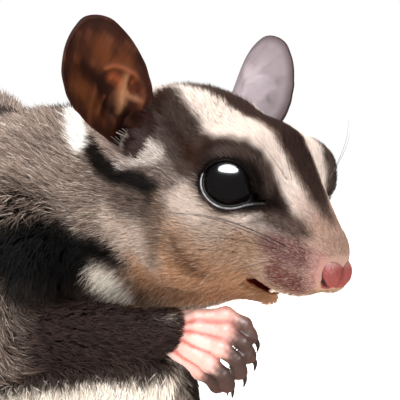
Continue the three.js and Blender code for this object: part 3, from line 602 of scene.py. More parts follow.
def eyelid_body(p, d, side_name, near):
    """Adds the swelling over one eyeball to the distance d, and cuts its opening."""
    eye = EYES[side_name]
    q = p[near]
    corner = eye["centre"] + eye["long"] * 4.4 + eye["tall"] * 0.4 + eye["aim"] * 0.9
    ball = blend(away(q, eye["centre"]) - (EYE_RADIUS + 0.25), away(q, corner) - 1.6, 1.2)
    made = blend(d[near], ball, 2.2)
    prism = np.maximum(opening_distance(q, side_name) - 0.3, -((q - eye["centre"]) @ eye["aim"]) + 0.5)
    d[near] = carve(made, prism, 0.3)
    return d


def skin_parts(p):
    """Skin distance of each part by itself, used to weigh what the coat does at a place."""
    parts = part_distances(p)
    depths = part_depths(p)
    found = {name: parts[name] + depths[name] for name in parts}
    found["tail"] = tail_skin_distance(p)
    for name in FOLDS:
        found["fold_" + name] = fold_distance(p, name)
    return found


def part_weights(p, width=1.8):
    """The parts' names, and each one's share of every place. They change over a seam of the width."""
    found = skin_parts(p)
    names = list(found)
    d = np.stack([found[n] for n in names])
    w = np.exp(-(d - d.min(0)) / width)
    return names, w / w.sum(0)


def limb_axis(name):
    a, b = np.array(LIMBS[name]["a"], float), np.array(LIMBS[name]["b"], float)
    return unit(b - a)


def coat_lie(p, n):
    """The way the hair lies at each place, before it is turned into the skin's own plane."""
    names, weights = part_weights(p)
    total = np.zeros(p.shape)
    share, _ = tail_place(p)
    for name, w in zip(names, weights):
        if name == "head":
            q = to_head(p)
            back = q - np.array([0, -7.0, 1.5])
            back[:, 2] -= 5 * smooth(12, 26, q[:, 1]) * smooth(3, -6, q[:, 2])
            way = turn_from_head(unit(back))
        elif name == "trunk":
            fall = 0.42 * smooth(0, 18, np.abs(p[:, 0])) * smooth(46, 30, p[:, 2])
            way = unit(np.stack([0.12 * np.sign(p[:, 0]), np.ones(len(p)), -0.1 - fall], -1))
        elif name == "tail":
            way = TAIL_ALONG[tail_station(share)]
        elif name.startswith("fold_"):
            near, _, _, _ = fold_place(p, name[5:])
            s = FOLD_STATIONS[name[5:]]
            way = unit(s["drop"][near] + 0.35 * s["along"][near])
        else:
            way = np.broadcast_to(limb_axis(name), p.shape)
        total += w[:, None] * way
    return unit(total - n * dot(total, n)[:, None])


# Tufts by place: steps along the part, then their length, width and number to the square millimetre there
HEAD_TUFTS = (
    [0, 4, 9, 17, 26, 38],
    [0.45, 0.75, 0.95, 1.2, 1.7, 2.5],
    [0.055, 0.06, 0.066, 0.078, 0.1, 0.125],
    [105, 100, 92, 74, 54, 42],
)
TRUNK_TUFTS = ([28, 46, 60, 90], [2.8, 3.6, 5.2, 7.0], [0.13, 0.155, 0.24, 0.36], [36, 29, 13, 6.5])
TAIL_TUFTS = ([0, 0.15, 0.8, 1], [9, 15, 15, 11], [0.42] * 4, [11.5] * 4)
LIMB_TUFTS = {
    "upper_arm": ([0, 1], (4.0, 3.3), (0.19, 0.17), (19, 22)),
    "forearm": ([0, 1], (2.8, 1.4), (0.15, 0.1), (27, 44)),
    "thigh": ([0, 1], (6.4, 5.0), (0.34, 0.28), (8, 10)),
    "shank": ([0, 1], (3.6, 1.8), (0.24, 0.17), (13, 20)),
}
FOLD_TUFTS = (3.4, 0.2, 15)


def coat_measures(p):
    """Length, width and number of tufts at each place."""
    names, weights = part_weights(p)
    found = [np.zeros(len(p)) for _ in range(3)]
    share, _ = tail_place(p)
    for name, w in zip(names, weights):
        if name.startswith("fold_"):
            values = FOLD_TUFTS
        else:
            if name == "head":
                place_along, (steps, *sizes) = to_head(p)[:, 1], HEAD_TUFTS
            elif name == "trunk":
                place_along, (steps, *sizes) = p[:, 1], TRUNK_TUFTS
            elif name == "tail":
                place_along, (steps, *sizes) = share, TAIL_TUFTS
            else:
                place_along, (steps, *sizes) = along_limb(p, name), LIMB_TUFTS[kind(name)]
            values = [np.interp(place_along, steps, size) for size in sizes]
        for target, value in zip(found, values):
            target += w * value
    return found


# Named colours of the coat, as seen in plain daylight, 0 to 255; a few are painted shade instead
CROWN = (232, 216, 206)
FOREHEAD = (236, 219, 209)
BRIDGE = (182, 148, 132)
MUZZLE = (112, 66, 62)
MUZZLE_DEEP = (98, 40, 32)
STRIPE = (58, 42, 38)
EYE_PATCH = (30, 21, 19)
EYE_FRINGE = (74, 56, 48)
BROW = (96, 78, 70)
STRIPE_EDGE = (112, 88, 76)
NOSE_SIDE = (188, 138, 130)
EAR_BAND = (48, 29, 21)
EAR_SHADOW = (22, 18, 16)
WHITE = (252, 246, 240)
TAN = (164, 118, 84)
CHEEK = (188, 166, 152)
CHEEK_CREAM = (210, 192, 180)
CHEEK_TAN = (168, 134, 110)
# painted shade of the crease under the cheek
CHEEK_CREASE_SHADE = (74, 44, 28)
NECK = (126, 109, 99)
NECK_DARK = (84, 70, 63)
NECK_PALE = (184, 164, 150)
BACK = (146, 128, 118)
BACK_STRIPE = (52, 41, 38)
FLANK = (152, 134, 122)
BELLY = (236, 219, 202)
SHOULDER_BLACK = (15, 13, 12)
ELBOW_PALE = (240, 226, 212)
FOREARM = (56, 43, 40)
LEG = (118, 101, 93)
TAIL_GREY = (132, 116, 107)
TAIL_UNDER = (180, 163, 150)
TAIL_TIP = (26, 22, 21)
FOLD_DARK = (66, 53, 48)
FRINGE = (243, 229, 214)
MOUTH_RED = (92, 24, 20)
# painted shade of the hollow before each ear
EAR_HOLLOW_SHADE = (46, 22, 18)
LID_DARK = (20, 14, 14)

# Bare skin, named in the same way, among them painted light, painted shade and a painted reflection
# painted reflection: the pale shine along the lower lid's wet rim
LID_RIM_REFLECTION = (226, 224, 228)
LID_CORNER = (60, 34, 32)
PAW = (232, 182, 170)
PAW_PALE = (240, 204, 194)
# painted shade of the creases between toes
PAW_GAP_SHADE = (196, 88, 76)
PAW_KNUCKLE = (224, 150, 140)
PAW_END = (76, 52, 44)
PAW_WRIST = (110, 84, 80)
EAR_BACK = (138, 127, 132)
EAR_BACK_MIDDLE = (178, 166, 172)
EAR_BACK_MARGIN = (84, 70, 72)
EAR_BACK_MOTTLE = (110, 96, 98)
EAR_EDGE = (38, 24, 21)
EAR_FRONT = (58, 29, 17)
EAR_MARGIN = (50, 26, 19)
EAR_DARK_MOTTLE = (32, 17, 14)
EAR_PALE_MOTTLE = (132, 78, 52)
NOSE = (140, 66, 60)
NOSE_MOTTLE = (132, 62, 58)
# painted light on the upper part of the nose pad
NOSE_TOP_LIGHT = (160, 116, 108)
# painted shade inside the nostrils
NOSTRIL_SHADE = (52, 20, 22)
# painted shade of the groove down the nose pad
NOSE_GROOVE_SHADE = (112, 44, 42)


def linear(colour):
    c = np.array(colour, float) / 255
    return np.where(c <= 0.04045, c / 12.92, ((c + 0.055) / 1.055) ** 2.4)


def paint(colours, colour, mask):
    return colours + (linear(colour) - colours) * np.clip(mask, 0, 1)[:, None]


def plain(colour, like):
    """One colour at every place of an array."""
    return np.broadcast_to(linear(colour), like.shape).copy()


def patch(m, a, b, ra, rb, soft):
    """How far a place is inside a rounded streak from a to b, 0 to 1, over a soft edge."""
    return smooth(soft, -soft, limb(m, a, b, ra, rb))


def ragged(p, scale, seed):
    """A smooth random value about 0 at each place, for edges that aren't ruled lines."""
    total = np.zeros(len(p))
    draw = np.random.default_rng(seed)
    for octave in range(4):
        turn = draw.normal(size=(3, 3)) / scale * 1.6**octave
        wave = np.sin(p @ turn[0] + draw.uniform(0, 6.3)) * np.sin(p @ turn[1] + draw.uniform(0, 6.3))
        total += wave / 1.5**octave
    return total * 0.5


HEAD_MARKS = [  # bands of the head: colour, edge, strength and (x, y, z, radius) along each
    ((98, 82, 74), 1.2, 0.9, [(13.4, 30.6, 1.2, 1.6), (13.2, 26.0, 2.2, 2.2), (13.2, 22.4, 2.2, 1.8)]),
    (EAR_BAND, 0.9, 0.97, [
        (5.4, 35.4, 9.8, 2.0), (8.6, 30.7, 9.3, 2.5), (9.6, 26.2, 8.6, 2.4), (11.2, 21.4, 7.4, 2.5),
    ]),
    (EAR_BAND, 0.9, 0.95, [
        (7.6, 34.2, 8.4, 2.0), (10.2, 31.4, 6.6, 1.5), (11.0, 27.6, 6.4, 1.8), (11.5, 24.0, 5.6, 2.1),
        (12.2, 20.6, 5.0, 2.1),
    ]),
    (EAR_SHADOW, 0.8, 1.0, [
        (8.2, 43.6, -2.2, 1.0), (10.1, 39.3, -2.4, 1.5), (12.7, 34.8, -1.9, 1.7), (13.8, 31.2, -1.4, 1.7),
        (13.9, 28.5, -0.7, 1.5), (14.1, 25.8, 0.0, 1.4), (14.4, 23.4, 0.3, 1.2), (14.7, 23.0, -0.8, 0.8),
    ]),
    ((104, 82, 68), 1.2, 0.75, [
        (14.5, 22.0, 0.0, 0.8), (14.5, 20.6, -2.4, 1.0), (14.3, 20.0, -5.6, 1.2), (13.2, 20.2, -8.6, 1.2),
    ]),
    # painted shade along the crease under the cheek, darker where shade falls
    (CHEEK_CREASE_SHADE, 1.3, 0.85, [
        (13.6, 17.2, -4.4, 0.8), (12.3, 16.2, -5.9, 1.2), (10.9, 15.0, -6.8, 1.2), (9.1, 14.0, -7.2, 0.8),
    ]),
    ((204, 192, 185), 0.8, 0.95, [(13.6, 30.8, 0.9, 1.2), (13.2, 28.8, 2.8, 1.9), (12.6, 26.8, 3.6, 1.5)]),
    (WHITE, 0.8, 1.0, [
        (1.0, 53.0, -2.2, 1.6), (4.0, 50.8, -2.8, 1.8), (7.2, 46.6, -2.8, 1.5), (9.6, 42.4, -3.4, 1.1),
    ]),
    ((150, 128, 120), 0.8, 0.8, [
        (6.3, 43.3, -0.7, 0.9), (10.0, 38.0, 0.4, 1.0), (12.2, 33.4, 0.6, 0.9), (13.4, 29.6, 0.8, 0.8),
    ]),
]


def streak(m, places, soft):
    """How far a place is inside a line of rounded streaks, 0 to 1."""
    mask = np.zeros(len(m))
    for a, b in zip(places[:-1], places[1:]):
        mask = np.maximum(mask, patch(m, a[:3], b[:3], a[3], b[3], soft))
    return mask


def add_marks(colours, marks, m, ragging):
    for colour, soft, amount, places in marks:
        colours = paint(colours, colour, streak(m, places, np.maximum(soft + ragging, 0.3)) * amount)
    return colours


# The crown's stripe by steps back from the nose: its lean to the left, half its width and its strength
STRIPE_LEAN = ([5, 7, 9, 13, 16, 20, 24, 31, 40], [-0.2, -0.2, 0.1, 0.3, 0.2, 0.7, 1.1, 1.2, 0.4])
STRIPE_HALF = ([4, 7, 9, 13, 16, 24, 31, 36, 48], [0.4, 1.1, 1.8, 2.5, 2.7, 3.1, 3.1, 2.8, 2.8])
STRIPE_STRENGTH = ([3.4, 5.5, 8, 15, 28, 33, 40], [0.0, 0.6, 0.95, 1, 0.97, 0.85, 0.8])
WHISKER_PAD = [(6.6, 8.6, 0.4, 1.9), (5.6, 5.8, 0.6, 2.3), (4.8, 4.2, 0.4, 1.7)]
MUZZLE_STREAK = [(5.4, 10.2, 3.2, 1.7), (4.8, 8.4, 3.0, 1.6), (3.9, 6.8, 2.9, 1.3), (3.4, 5.7, 2.8, 0.7)]


def head_colours(q, p):
    m = mirrored(q)
    _, y, z = m.T
    rough = ragged(p, 1.3, 5)
    c = plain(NECK, q)
    c = paint(c, CROWN, smooth(0, 5, z) * smooth(48, 36, y))
    c = paint(c, FOREHEAD, smooth(24, 12, y) * smooth(-3, 3, z))
    c = paint(c, CHEEK_TAN, smooth(2.0, -1.5, z) * smooth(24, 18, y))
    c = paint(c, CHEEK, patch(m, (13.4, 17.6, 0.8), (12.0, 13.0, -0.6), 2.6, 2.2, 1.8))
    c = paint(c, CHEEK_CREAM, patch(m, (13.4, 20.0, 0.9), (12.6, 16.6, 0.6), 1.7, 1.5, 1.0))
    c = paint(c, TAN, smooth(-3.6, -7.4, z) * smooth(30, 12, y) * 0.9)
    c = paint(c, NECK_PALE, patch(m, (14.4, 24.6, -6.4), (13.6, 21.0, -8.6), 2.4, 2.2, 1.8) * 0.9)
    c = paint(c, NECK_DARK, patch(m, (15.2, 28.0, -3.0), (15.2, 22.8, -2.2), 1.8, 1.4, 1.8) * 0.7)
    c = paint(c, BRIDGE, smooth(11, 5, y) * smooth(-4, 1, z))
    c = paint(c, MUZZLE, streak(m, WHISKER_PAD, 0.9) * 0.95)
    c = paint(c, MUZZLE_DEEP, patch(m, (6.4, 6.0, -2.9), (4.8, 2.8, -2.8), 1.6, 1.5, 0.9) * 0.9)
    c = paint(c, NOSE_SIDE, patch(m, (3.0, 2.8, 0.4), (3.6, 2.4, -2.0), 1.4, 1.2, 0.8) * 0.85)
    c = paint(c, EYE_FRINGE, streak(m, MUZZLE_STREAK, 0.8) * 0.95)
    c = paint(c, EYE_FRINGE, patch(m, (7.4, 10.4, 1.8), (6.2, 8.4, 2.4), 1.1, 1.1, 0.8) * 0.8)
    middle = np.interp(y, *STRIPE_LEAN)
    half = np.interp(y, *STRIPE_HALF)
    strength = np.interp(y, *STRIPE_STRENGTH)
    outside = np.abs(q[:, 0] - middle) - half + 0.35 * rough
    c = paint(c, STRIPE_EDGE, smooth(0.9, 0.0, outside) * strength * smooth(-2, 2, z))
    c = paint(c, STRIPE, smooth(0.35, -0.75, outside) * strength * smooth(-2, 2, z))
    for side_name, near in near_eyes(p, 12):
        eye = EYES[side_name]
        edge = outline_distance(p[near], side_name, np.array(EYE_RING)) + 0.3 * rough[near]
        ring = paint(c[near], EYE_FRINGE, smooth(0.5, -0.6, edge))
        ring = paint(ring, EYE_PATCH, smooth(0.1, -1.5, edge))
        offset = p[near] - eye["centre"]
        tall = offset @ eye["tall"]
        arc = np.abs(np.hypot(offset @ eye["long"] - 0.5, tall) - 4.6)
        c[near] = paint(ring, BROW, smooth(1.1, 0.1, arc) * smooth(0.6, 2.6, tall) * 0.6)
    return c


BODY_MARKS = [  # of the neck, shoulders and arms, in the same way
    (NECK_DARK, 1.2, 0.8, [(12.3, 40.4, 46.4, 1.5), (13.4, 36.9, 44.7, 1.9), (14.3, 33.9, 43.0, 1.8)]),
    ((66, 54, 49), 0.8, 0.85, [(14.3, 44.3, 46.0, 0.9), (14.3, 41.0, 45.2, 1.1)]),
    ((78, 65, 59), 0.8, 0.7, [(10.6, 44.6, 49.0, 0.9), (11.4, 41.6, 47.9, 1.0)]),
    (NECK_DARK, 2.2, 0.85, [
        (14.9, 33.6, 41.0, 2.0), (15.7, 27.6, 40.4, 2.4), (15.2, 21.6, 40.0, 2.2), (15.0, 20.6, 36.4, 1.2),
    ]),
    (NECK_PALE, 1.8, 0.9, [(14.0, 31.2, 37.6, 1.8), (13.6, 28.6, 35.6, 2.4), (12.6, 26.9, 33.7, 2.0)]),
    ((176, 128, 92), 2.2, 0.9, [
        (11.8, 26.4, 31.6, 1.6), (8.8, 26.8, 29.4, 3.0), (5.4, 24.6, 27.4, 3.4), (4.2, 19.6, 28.0, 3.0),
        (4.6, 15.8, 29.6, 1.6),
    ]),
    ((126, 84, 56), 1.4, 0.7, [(9.4, 31.0, 29.0, 1.2), (7.6, 29.4, 26.6, 1.6)]),
    (SHOULDER_BLACK, 1.3, 1.0, [
        (21.5, 40.0, 31.6, 4.2), (18.0, 37.8, 32.0, 4.8), (15.2, 35.8, 31.2, 3.8), (13.2, 34.3, 32.6, 2.2),
        (11.7, 32.4, 32.0, 1.6), (10.9, 30.4, 30.6, 0.8),
    ]),
    (SHOULDER_BLACK, 1.5, 0.9, [(20.0, 38.0, 27.6, 3.6), (16.0, 36.2, 28.2, 3.4), (13.8, 35.6, 27.4, 1.6)]),
    (ELBOW_PALE, 1.0, 1.0, [
        (11.6, 34.0, 29.0, 1.3), (10.7, 33.3, 27.8, 1.9), (9.7, 32.2, 26.6, 1.8), (8.4, 31.2, 25.8, 1.0),
    ]),
    ((160, 144, 136), 0.5, 0.75, [(14.2, 28.4, 27.4, 0.8), (12.9, 23.2, 26.6, 0.6), (10.0, 18.6, 25.4, 0.4)]),
]


def body_colours(p, names, weights):
    """The coat's colour at each place, from the part it is on and the marks over it."""
    x, y, z = np.abs(p[:, 0]), p[:, 1], p[:, 2]
    total = np.zeros(p.shape)
    share, _ = tail_place(p)
    for name, w in zip(names, weights):
        c = plain(NECK, p)
        if name == "head":
            c = head_colours(to_head(p), p)
        elif name == "trunk":
            c = plain(FLANK, p)
            c = paint(c, BACK, smooth(22, 8, x) * smooth(24, 40, z))
            c = paint(c, NECK, smooth(52, 34, y) * 0.8)
            c = paint(c, BELLY, smooth(19, 9, z - 0.05 * y))
        elif name == "tail":
            c = plain(TAIL_GREY, p)
            c = paint(c, TAIL_UNDER, smooth(10, 5, z) * smooth(0.7, 0.4, share) * 0.6)
            c = paint(c, TAIL_TIP, smooth(0.62, 0.86, share + 0.04 * ragged(p, 5, 8)))
        elif name.startswith("fold_"):
            _, _, down, _ = fold_place(p, name[5:])
            c = plain(FOLD_DARK, p)
            c = paint(c, FRINGE, smooth(0.1, 1.4, down + 0.4 * ragged(p, 3, 9)))
        elif name.startswith("forearm"):
            t = along_limb(p, name)
            c = paint(c, FOREARM, smooth(0.1, 0.45, t))
            if name == "forearm_left":
                (start, *_), (end, *_) = LIMBS[name]["a"], LIMBS[name]["b"]
                c = paint(c, BELLY, smooth(0.4, -1.2, p[:, 0] - (start + t * (end - start))) * 0.9)
        elif not name.startswith("upper_arm"):
            c = plain(LEG, p)
            c = paint(c, FLANK, smooth(14, 22, z))
        total += w[:, None] * c
    trunk = weights[names.index("trunk")]
    rough = ragged(p, 4.0, 12)
    on_back = smooth(30, 42, y) * smooth(28, 38, z) * smooth(128, 112, y)
    total = paint(total, BACK_STRIPE, smooth(1.6, -1.0, x - 2.9 + 0.7 * rough) * on_back * trunk)
    patches = ragged(p * np.array([1, 0.5, 1]), 4.5, 14)
    smudge = smooth(0.1, 0.9, patches) * smooth(24, 34, z) * smooth(26, 40, y)
    total = paint(total, NECK_DARK, 0.45 * smudge * trunk)
    total = add_marks(total, BODY_MARKS, mirrored(p), 0.35 * rough)
    total = add_marks(total, HEAD_MARKS, mirrored(to_head(p)), 0.3 * ragged(p, 1.3, 5))
    # painted shade: the hollow before each ear is darkened where its canal shows
    return paint(total, EAR_HOLLOW_SHADE, smooth(0.9, 0.3, canal_distance(p)) * 0.95)


# Where the coat is seen: shares of its rise off the skin and of a tuft's length
SEEN_RISE = 0.8
SEEN_LENGTH = 0.6


def skin_colours(p, normals):
    outer = p + normals * (SEEN_RISE * coat_rise(p))[:, None]
    names, weights = part_weights(outer, 1.4)
    colours = body_colours(outer, names, weights) * 0.8
    q = to_head(p)
    inside = smooth(0.25, 0.0, mouth_distance(q)) * (q[:, 1] < 15)
    colours = paint(colours, MOUTH_RED, inside)
    for side_name, near in near_eyes(p):
        rim = np.zeros(len(p))
        rim[near] = smooth(1.2, 0.4, opening_distance(p[near], side_name))
        colours = paint(colours, LID_DARK, rim)
    return colours


# An unwrap of the skin's own shape: each part has a rectangle, (left, bottom, width, height)
CHARTS = {
    "head": (0.02, 0.02, 0.46, 0.46),
    "trunk": (0.53, 0.03, 0.44, 0.44),
    "tail": (0.03, 0.53, 0.44, 0.2),
}
for number, limb_name in enumerate(LIMBS):
    CHARTS[limb_name] = (0.53 + 0.12 * (number % 4), 0.53 + 0.12 * (number // 4), 0.09, 0.09)
CHARTS["fold_right"] = (0.03, 0.78, 0.44, 0.08)
CHARTS["fold_left"] = (0.03, 0.89, 0.44, 0.08)
PART_NAMES = list(CHARTS)


def chart_places(p, name):
    """Places on one part's own unwrap, 0 to 1 each way, and whether the first of them wraps round."""
    if name == "head":
        q = to_head(p) - np.array([0, 17, -1])
        around = np.arctan2(q[:, 0], q[:, 2])
        theta = np.arctan2(np.hypot(q[:, 0], q[:, 2]), -q[:, 1]) / math.pi
        return 0.5 + 0.5 * theta[:, None] * np.stack([np.sin(around), np.cos(around)], -1), False
    if name == "trunk":
        angle = np.arctan2(p[:, 0], p[:, 2] - 26)
        return np.stack([angle / (2 * math.pi) + 0.5, np.clip((p[:, 1] - 18) / 118, 0, 1)], -1), True
    if name == "tail":
        share, _ = tail_place(p)
        i = tail_station(share)
        side = unit(np.cross(TAIL_ALONG[i], np.array([0, 0, 1.0])))
        offset = p - TAIL_CENTRES[i]
        angle = np.arctan2(dot(offset, side), offset[:, 2])
        return np.stack([angle / (2 * math.pi) + 0.5, share], -1)[:, ::-1].copy(), False
    if name.startswith("fold_"):
        near, _, down, out = fold_place(p, name[5:])
        s = FOLD_STATIONS[name[5:]]
        across = 0.25 + np.clip(down / 26, -0.24, 0.24)
        return np.stack([s["t"][near], 0.5 + np.sign(out) * across], -1), False
    a, along = np.array(LIMBS[name]["a"], float), limb_axis(name)
    side = unit(np.cross(along, np.array([0.0, 0.3, 1.0])))
    other = np.cross(along, side)
    offset = p - a
    angle = np.arctan2(offset @ side, offset @ other)
    length = np.linalg.norm(np.array(LIMBS[name]["b"], float) - a)
    share = np.clip(offset @ along / length * 0.5 + 0.25, 0, 1)
    return np.stack([angle / (2 * math.pi) + 0.5, share], -1), True


def in_rectangle(uv, name):
    left, bottom, width, height = CHARTS[name]
    return uv * np.array([width, height]) + np.array([left, bottom])


def part_index(p):
    """The number in PART_NAMES of the part that each place is on."""
    names, weights = part_weights(p, 0.3)
    order = np.array([PART_NAMES.index(n) for n in names])
    return order[np.argmax(weights, axis=0)]


def face_uvs(points, faces):
    centres = points[faces].mean(1)
    part = part_index(centres)
    uv = np.zeros(faces.shape + (2,))
    for number, name in enumerate(PART_NAMES):
        rows = part == number
        if not rows.any():
            continue
        corners = points[faces[rows]].reshape(-1, 3)
        places, wraps = chart_places(corners, name)
        places = places.reshape(-1, faces.shape[1], 2)
        if wraps:
            middle, _ = chart_places(centres[rows], name)
            over = places[:, :, 0] - middle[:, None, 0]
            places[:, :, 0] -= np.round(over)
            places[:, :, 0] = np.clip(places[:, :, 0], -0.04, 1.04)
        uv[rows] = in_rectangle(places, name)
    return uv


def root_uvs(roots):
    part = part_index(roots)
    uv = np.zeros((len(roots), 2))
    for number, name in enumerate(PART_NAMES):
        rows = part == number
        if rows.any():
            uv[rows] = in_rectangle(chart_places(roots[rows], name)[0], name)
    return uv


# Meshes
def new_mesh(name, points, faces, material, slot, colours=None, uv=None, normals=None):
    faces = np.asarray(faces, np.int32)
    mesh = bpy.data.meshes.new(name)
    mesh.vertices.add(len(points))
    mesh.vertices.foreach_set("co", place(points).astype(np.float32).ravel())
    mesh.loops.add(faces.size)
    mesh.loops.foreach_set("vertex_index", faces.ravel())
    mesh.polygons.add(len(faces))
    mesh.polygons.foreach_set("loop_start", np.arange(0, faces.size, faces.shape[1], dtype=np.int32))
    mesh.update(calc_edges=True)
    mesh.polygons.foreach_set("use_smooth", np.full(len(faces), True))
    if colours is not None:
        layer = mesh.color_attributes.new("Coat", "FLOAT_COLOR", "POINT")
        full = np.concatenate([colours, np.ones((len(colours), 1))], 1)
        layer.data.foreach_set("color", full.astype(np.float32).ravel())
    if uv is not None:
        layer = mesh.uv_layers.new(name="OFBake")
        layer.data.foreach_set("uv", uv.astype(np.float32).ravel())
    if normals is not None:
        mesh.normals_split_custom_set_from_vertices(normals.astype(np.float32))
    piece = bpy.data.objects.new(name, mesh)
    bpy.context.scene.collection.objects.link(piece)
    mesh.materials.append(material)
    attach(piece, "root")
    return piece


def vertex_normals(points, faces):
    a, b, c, d = (points[faces[:, i]] for i in range(4))
    face = np.cross(c - a, d - b)
    total = np.zeros(points.shape)
    for i in range(4):
        np.add.at(total, faces[:, i], face)
    return unit(total)


# Tufts
def scatter(points, faces, density, draw):
    """Roots over the skin, so many to the square millimetre: each one's triangle and corner weights."""
    tri = np.vstack([faces[:, [0, 1, 2]], faces[:, [0, 2, 3]]])
    a, b, c = (points[tri[:, i]] for i in range(3))
    area = np.linalg.norm(np.cross(b - a, c - a), axis=-1) / 2
    rate = area * density[tri].mean(1) * DENSITY
    count = draw.poisson(rate)
    rows = np.repeat(np.arange(len(tri)), count)
    r, s = np.sqrt(draw.random(len(rows))), draw.random(len(rows))
    weights = np.stack([1 - r, r * (1 - s), r * s], -1)
    return tri[rows], weights


def gather(values, tri, weights):
    """The values at roots, from those at the corners of their triangles."""
    return (values[tri] * weights[..., None]).sum(1)


def tufts(roots, normals, lie, length, width, rise, colours, draw, clump, spread, speckle):
    """Blades of two bends. rise is how far the tips stand off the skin."""
    count = len(roots)
    side = unit(np.cross(lie, normals))
    bend = draw.normal(0, spread, count)
    lie = unit(lie * np.cos(bend)[:, None] + side * np.sin(bend)[:, None])
    length = length * draw.uniform(0.78, 1.18, count)
    slope = np.clip(rise / length * draw.uniform(0.72, 1.12, count), 0.04, 0.92)
    out = np.sqrt(1 - slope**2)
    tip = roots + length[:, None] * (lie * out[:, None] + normals * slope[:, None])
    steep = np.clip(slope * 1.45 + 0.05, 0, 0.97)
    middle = roots + 0.5 * length[:, None] * (lie * np.sqrt(1 - steep**2)[:, None] + normals * steep[:, None])
    tip, middle = drawn_together(roots, middle, tip, length, clump, draw)
    turn = draw.normal(0, 0.45, count)
    side = unit(np.cross(tip - roots, normals))
    side = side * np.cos(turn)[:, None] + normals * np.sin(turn)[:, None]
    half = 0.5 * (width * draw.uniform(0.75, 1.25, count))[:, None] * side
    base = roots - 0.12 * length[:, None] * normals * 0.5
    points = np.stack([base - half, base + half, middle - 0.85 * half, middle + 0.85 * half, tip], 1)
    faces = (np.arange(count)[:, None] * 5 + np.ravel(TUFT_FACES)).reshape(-1, 3)
    shade = draw.normal(1, speckle, (count, 1, 1))
    root, body, end = colours
    inks = np.stack([root, root, body, body, end], 1) * np.clip(shade, 0.5, 1.5)
    own = unit(np.cross(tip - base, side))
    own *= np.sign(dot(own, normals))[:, None]
    looks = unit(0.72 * normals + 0.28 * own)
    return points.reshape(-1, 3), faces, np.clip(inks, 0, 1).reshape(-1, 3), np.repeat(looks, 5, 0)


def drawn_together(roots, middle, tip, length, clump, draw):
    """Tips lean towards the tip of the nearest leading tuft, so the coat parts into locks."""
    leads = draw.permutation(len(roots))[: max(len(roots) // 14, 1)]
    tree = KDTree(len(leads))
    for i, lead in enumerate(leads):
        tree.insert(roots[lead], i)
    tree.balance()
    found = leads[np.array([tree.find(r)[1] for r in roots])]
    pull = tip[found] - tip
    reach = np.linalg.norm(pull, axis=-1)
    keep = np.clip(0.8 * length / np.maximum(reach, 1e-6), 0, 1)[:, None]
    return tip + clump * keep * pull, middle + 0.45 * clump * keep * pull


TUFT_UV_HALF = 0.0014
TUFT_UV = [(-1, -1), (1, -1), (-1, 0), (1, 0), (0, 1)]
TUFT_FACES = [(0, 1, 3), (0, 3, 2), (2, 3, 4)]


def tuft_uvs(roots):
    each = root_uvs(roots)[:, None, :] + np.array(TUFT_UV) * TUFT_UV_HALF
    return each[:, np.ravel(TUFT_FACES)].reshape(-1, 3, 2)


# Regions of the coat, each its own piece
NECK_END = 52
FACE_END = 22  # in the head's own axes


def coat_regions(p):
    names, weights = part_weights(p, 0.5)
    part = np.array(names, dtype=object)[np.argmax(weights, axis=0)]
    q = to_head(p)
    region = np.full(len(p), "trunk_right", dtype=object)
    region[p[:, 0] > 0] = "trunk_left"
    region[(part == "trunk") & (p[:, 1] < NECK_END)] = "neck"
    region[part == "head"] = "crown"
    region[(part == "head") & (q[:, 1] < FACE_END) & (q[:, 0] < 0)] = "face_right"
    region[(part == "head") & (q[:, 1] < FACE_END) & (q[:, 0] >= 0)] = "face_left"
    region[part == "tail"] = "tail"
    for name in LIMBS:
        region[part == name] = "arms" if "arm" in name else "legs"
    for name in FOLDS:
        region[part == "fold_" + name] = "folds"
    return region


def bare_places(p):
    """0 where no hair grows: the lids' edges, the mouth and the nose pad, and 1 elsewhere."""
    q = to_head(p)
    keep = smooth(0.3, 0.8, nose_distance(q)) * smooth(0.2, 0.6, mouth_distance(q))
    for side_name, near in near_eyes(p):
        keep[near] *= smooth(0.25, 0.75, opening_distance(p[near], side_name))
    keep *= smooth(0.5, 1.1, canal_distance(p))
    return keep * (p[:, 2] > 0.5)


TICK_PALE = (232, 218, 204)
TICK_BODY = (214, 198, 184)
MUZZLE_WHITE = (226, 208, 202)
DARK_BELOW = 0.3  # of draws from 0 to 1, one to a tuft
PALE_ABOVE = 0.84
WHITE_ABOVE = 0.68


def coat_colours(p, outer, draw):
    """Root, middle and tip colours of each tuft. outer is where its hairs show."""
    names, weights = part_weights(outer, 1.0)
    base = body_colours(outer, names, weights)
    light = base.mean(1, keepdims=True)
    head = weights[names.index("head")][:, None]
    tail = weights[names.index("tail")][:, None]
    root = base * (0.5 + 0.25 * head)
    tip = base * 1.1
    body = base.copy()
    ticks = draw.random((len(p), 1))
    ticked = (1 - smooth(0.42, 0.66, light)) * (1 - 0.35 * head) * (1 - 0.4 * tail)
    dark = (ticks < DARK_BELOW) * ticked
    pale = (ticks > PALE_ABOVE) * ticked * smooth(0.03, 0.14, light)
    tip = tip * (1 - 0.72 * dark) + (linear(TICK_PALE) - tip) * 0.6 * pale
    body = body * (1 - 0.45 * dark) + (linear(TICK_BODY) - body) * 0.3 * pale
    q = to_head(p)
    muzzle = smooth(10.5, 8, q[:, 1]) * smooth(3.4, 1.0, q[:, 2]) * smooth(1.6, 3, np.abs(q[:, 0]))
    white = (draw.random((len(p), 1)) > WHITE_ABOVE) * muzzle[:, None]
    tip = tip + (linear(MUZZLE_WHITE) - tip) * 0.75 * white
    return root, body, tip


def coat_rise(p):
    """How far the tips of the coat stand off the skin."""
    names, weights = part_weights(p)
    depths = part_depths(p)
    share, _ = tail_place(p)
    depths["tail"] = tail_radius(share) - tail_core(share)
    rise = np.zeros(len(p))
    for name, w in zip(names, weights):
        rise += w * (FOLD_COAT if name.startswith("fold_") else depths[name])
    return rise


# How far the tufts draw together into locks, spread to the sides and differ in shade
FACE_COAT = (0.16, 0.18, 0.15)
BODY_COAT = (0.34, 0.36, 0.27)
LOWEST_HAIR = 0.15  # its height over the floor


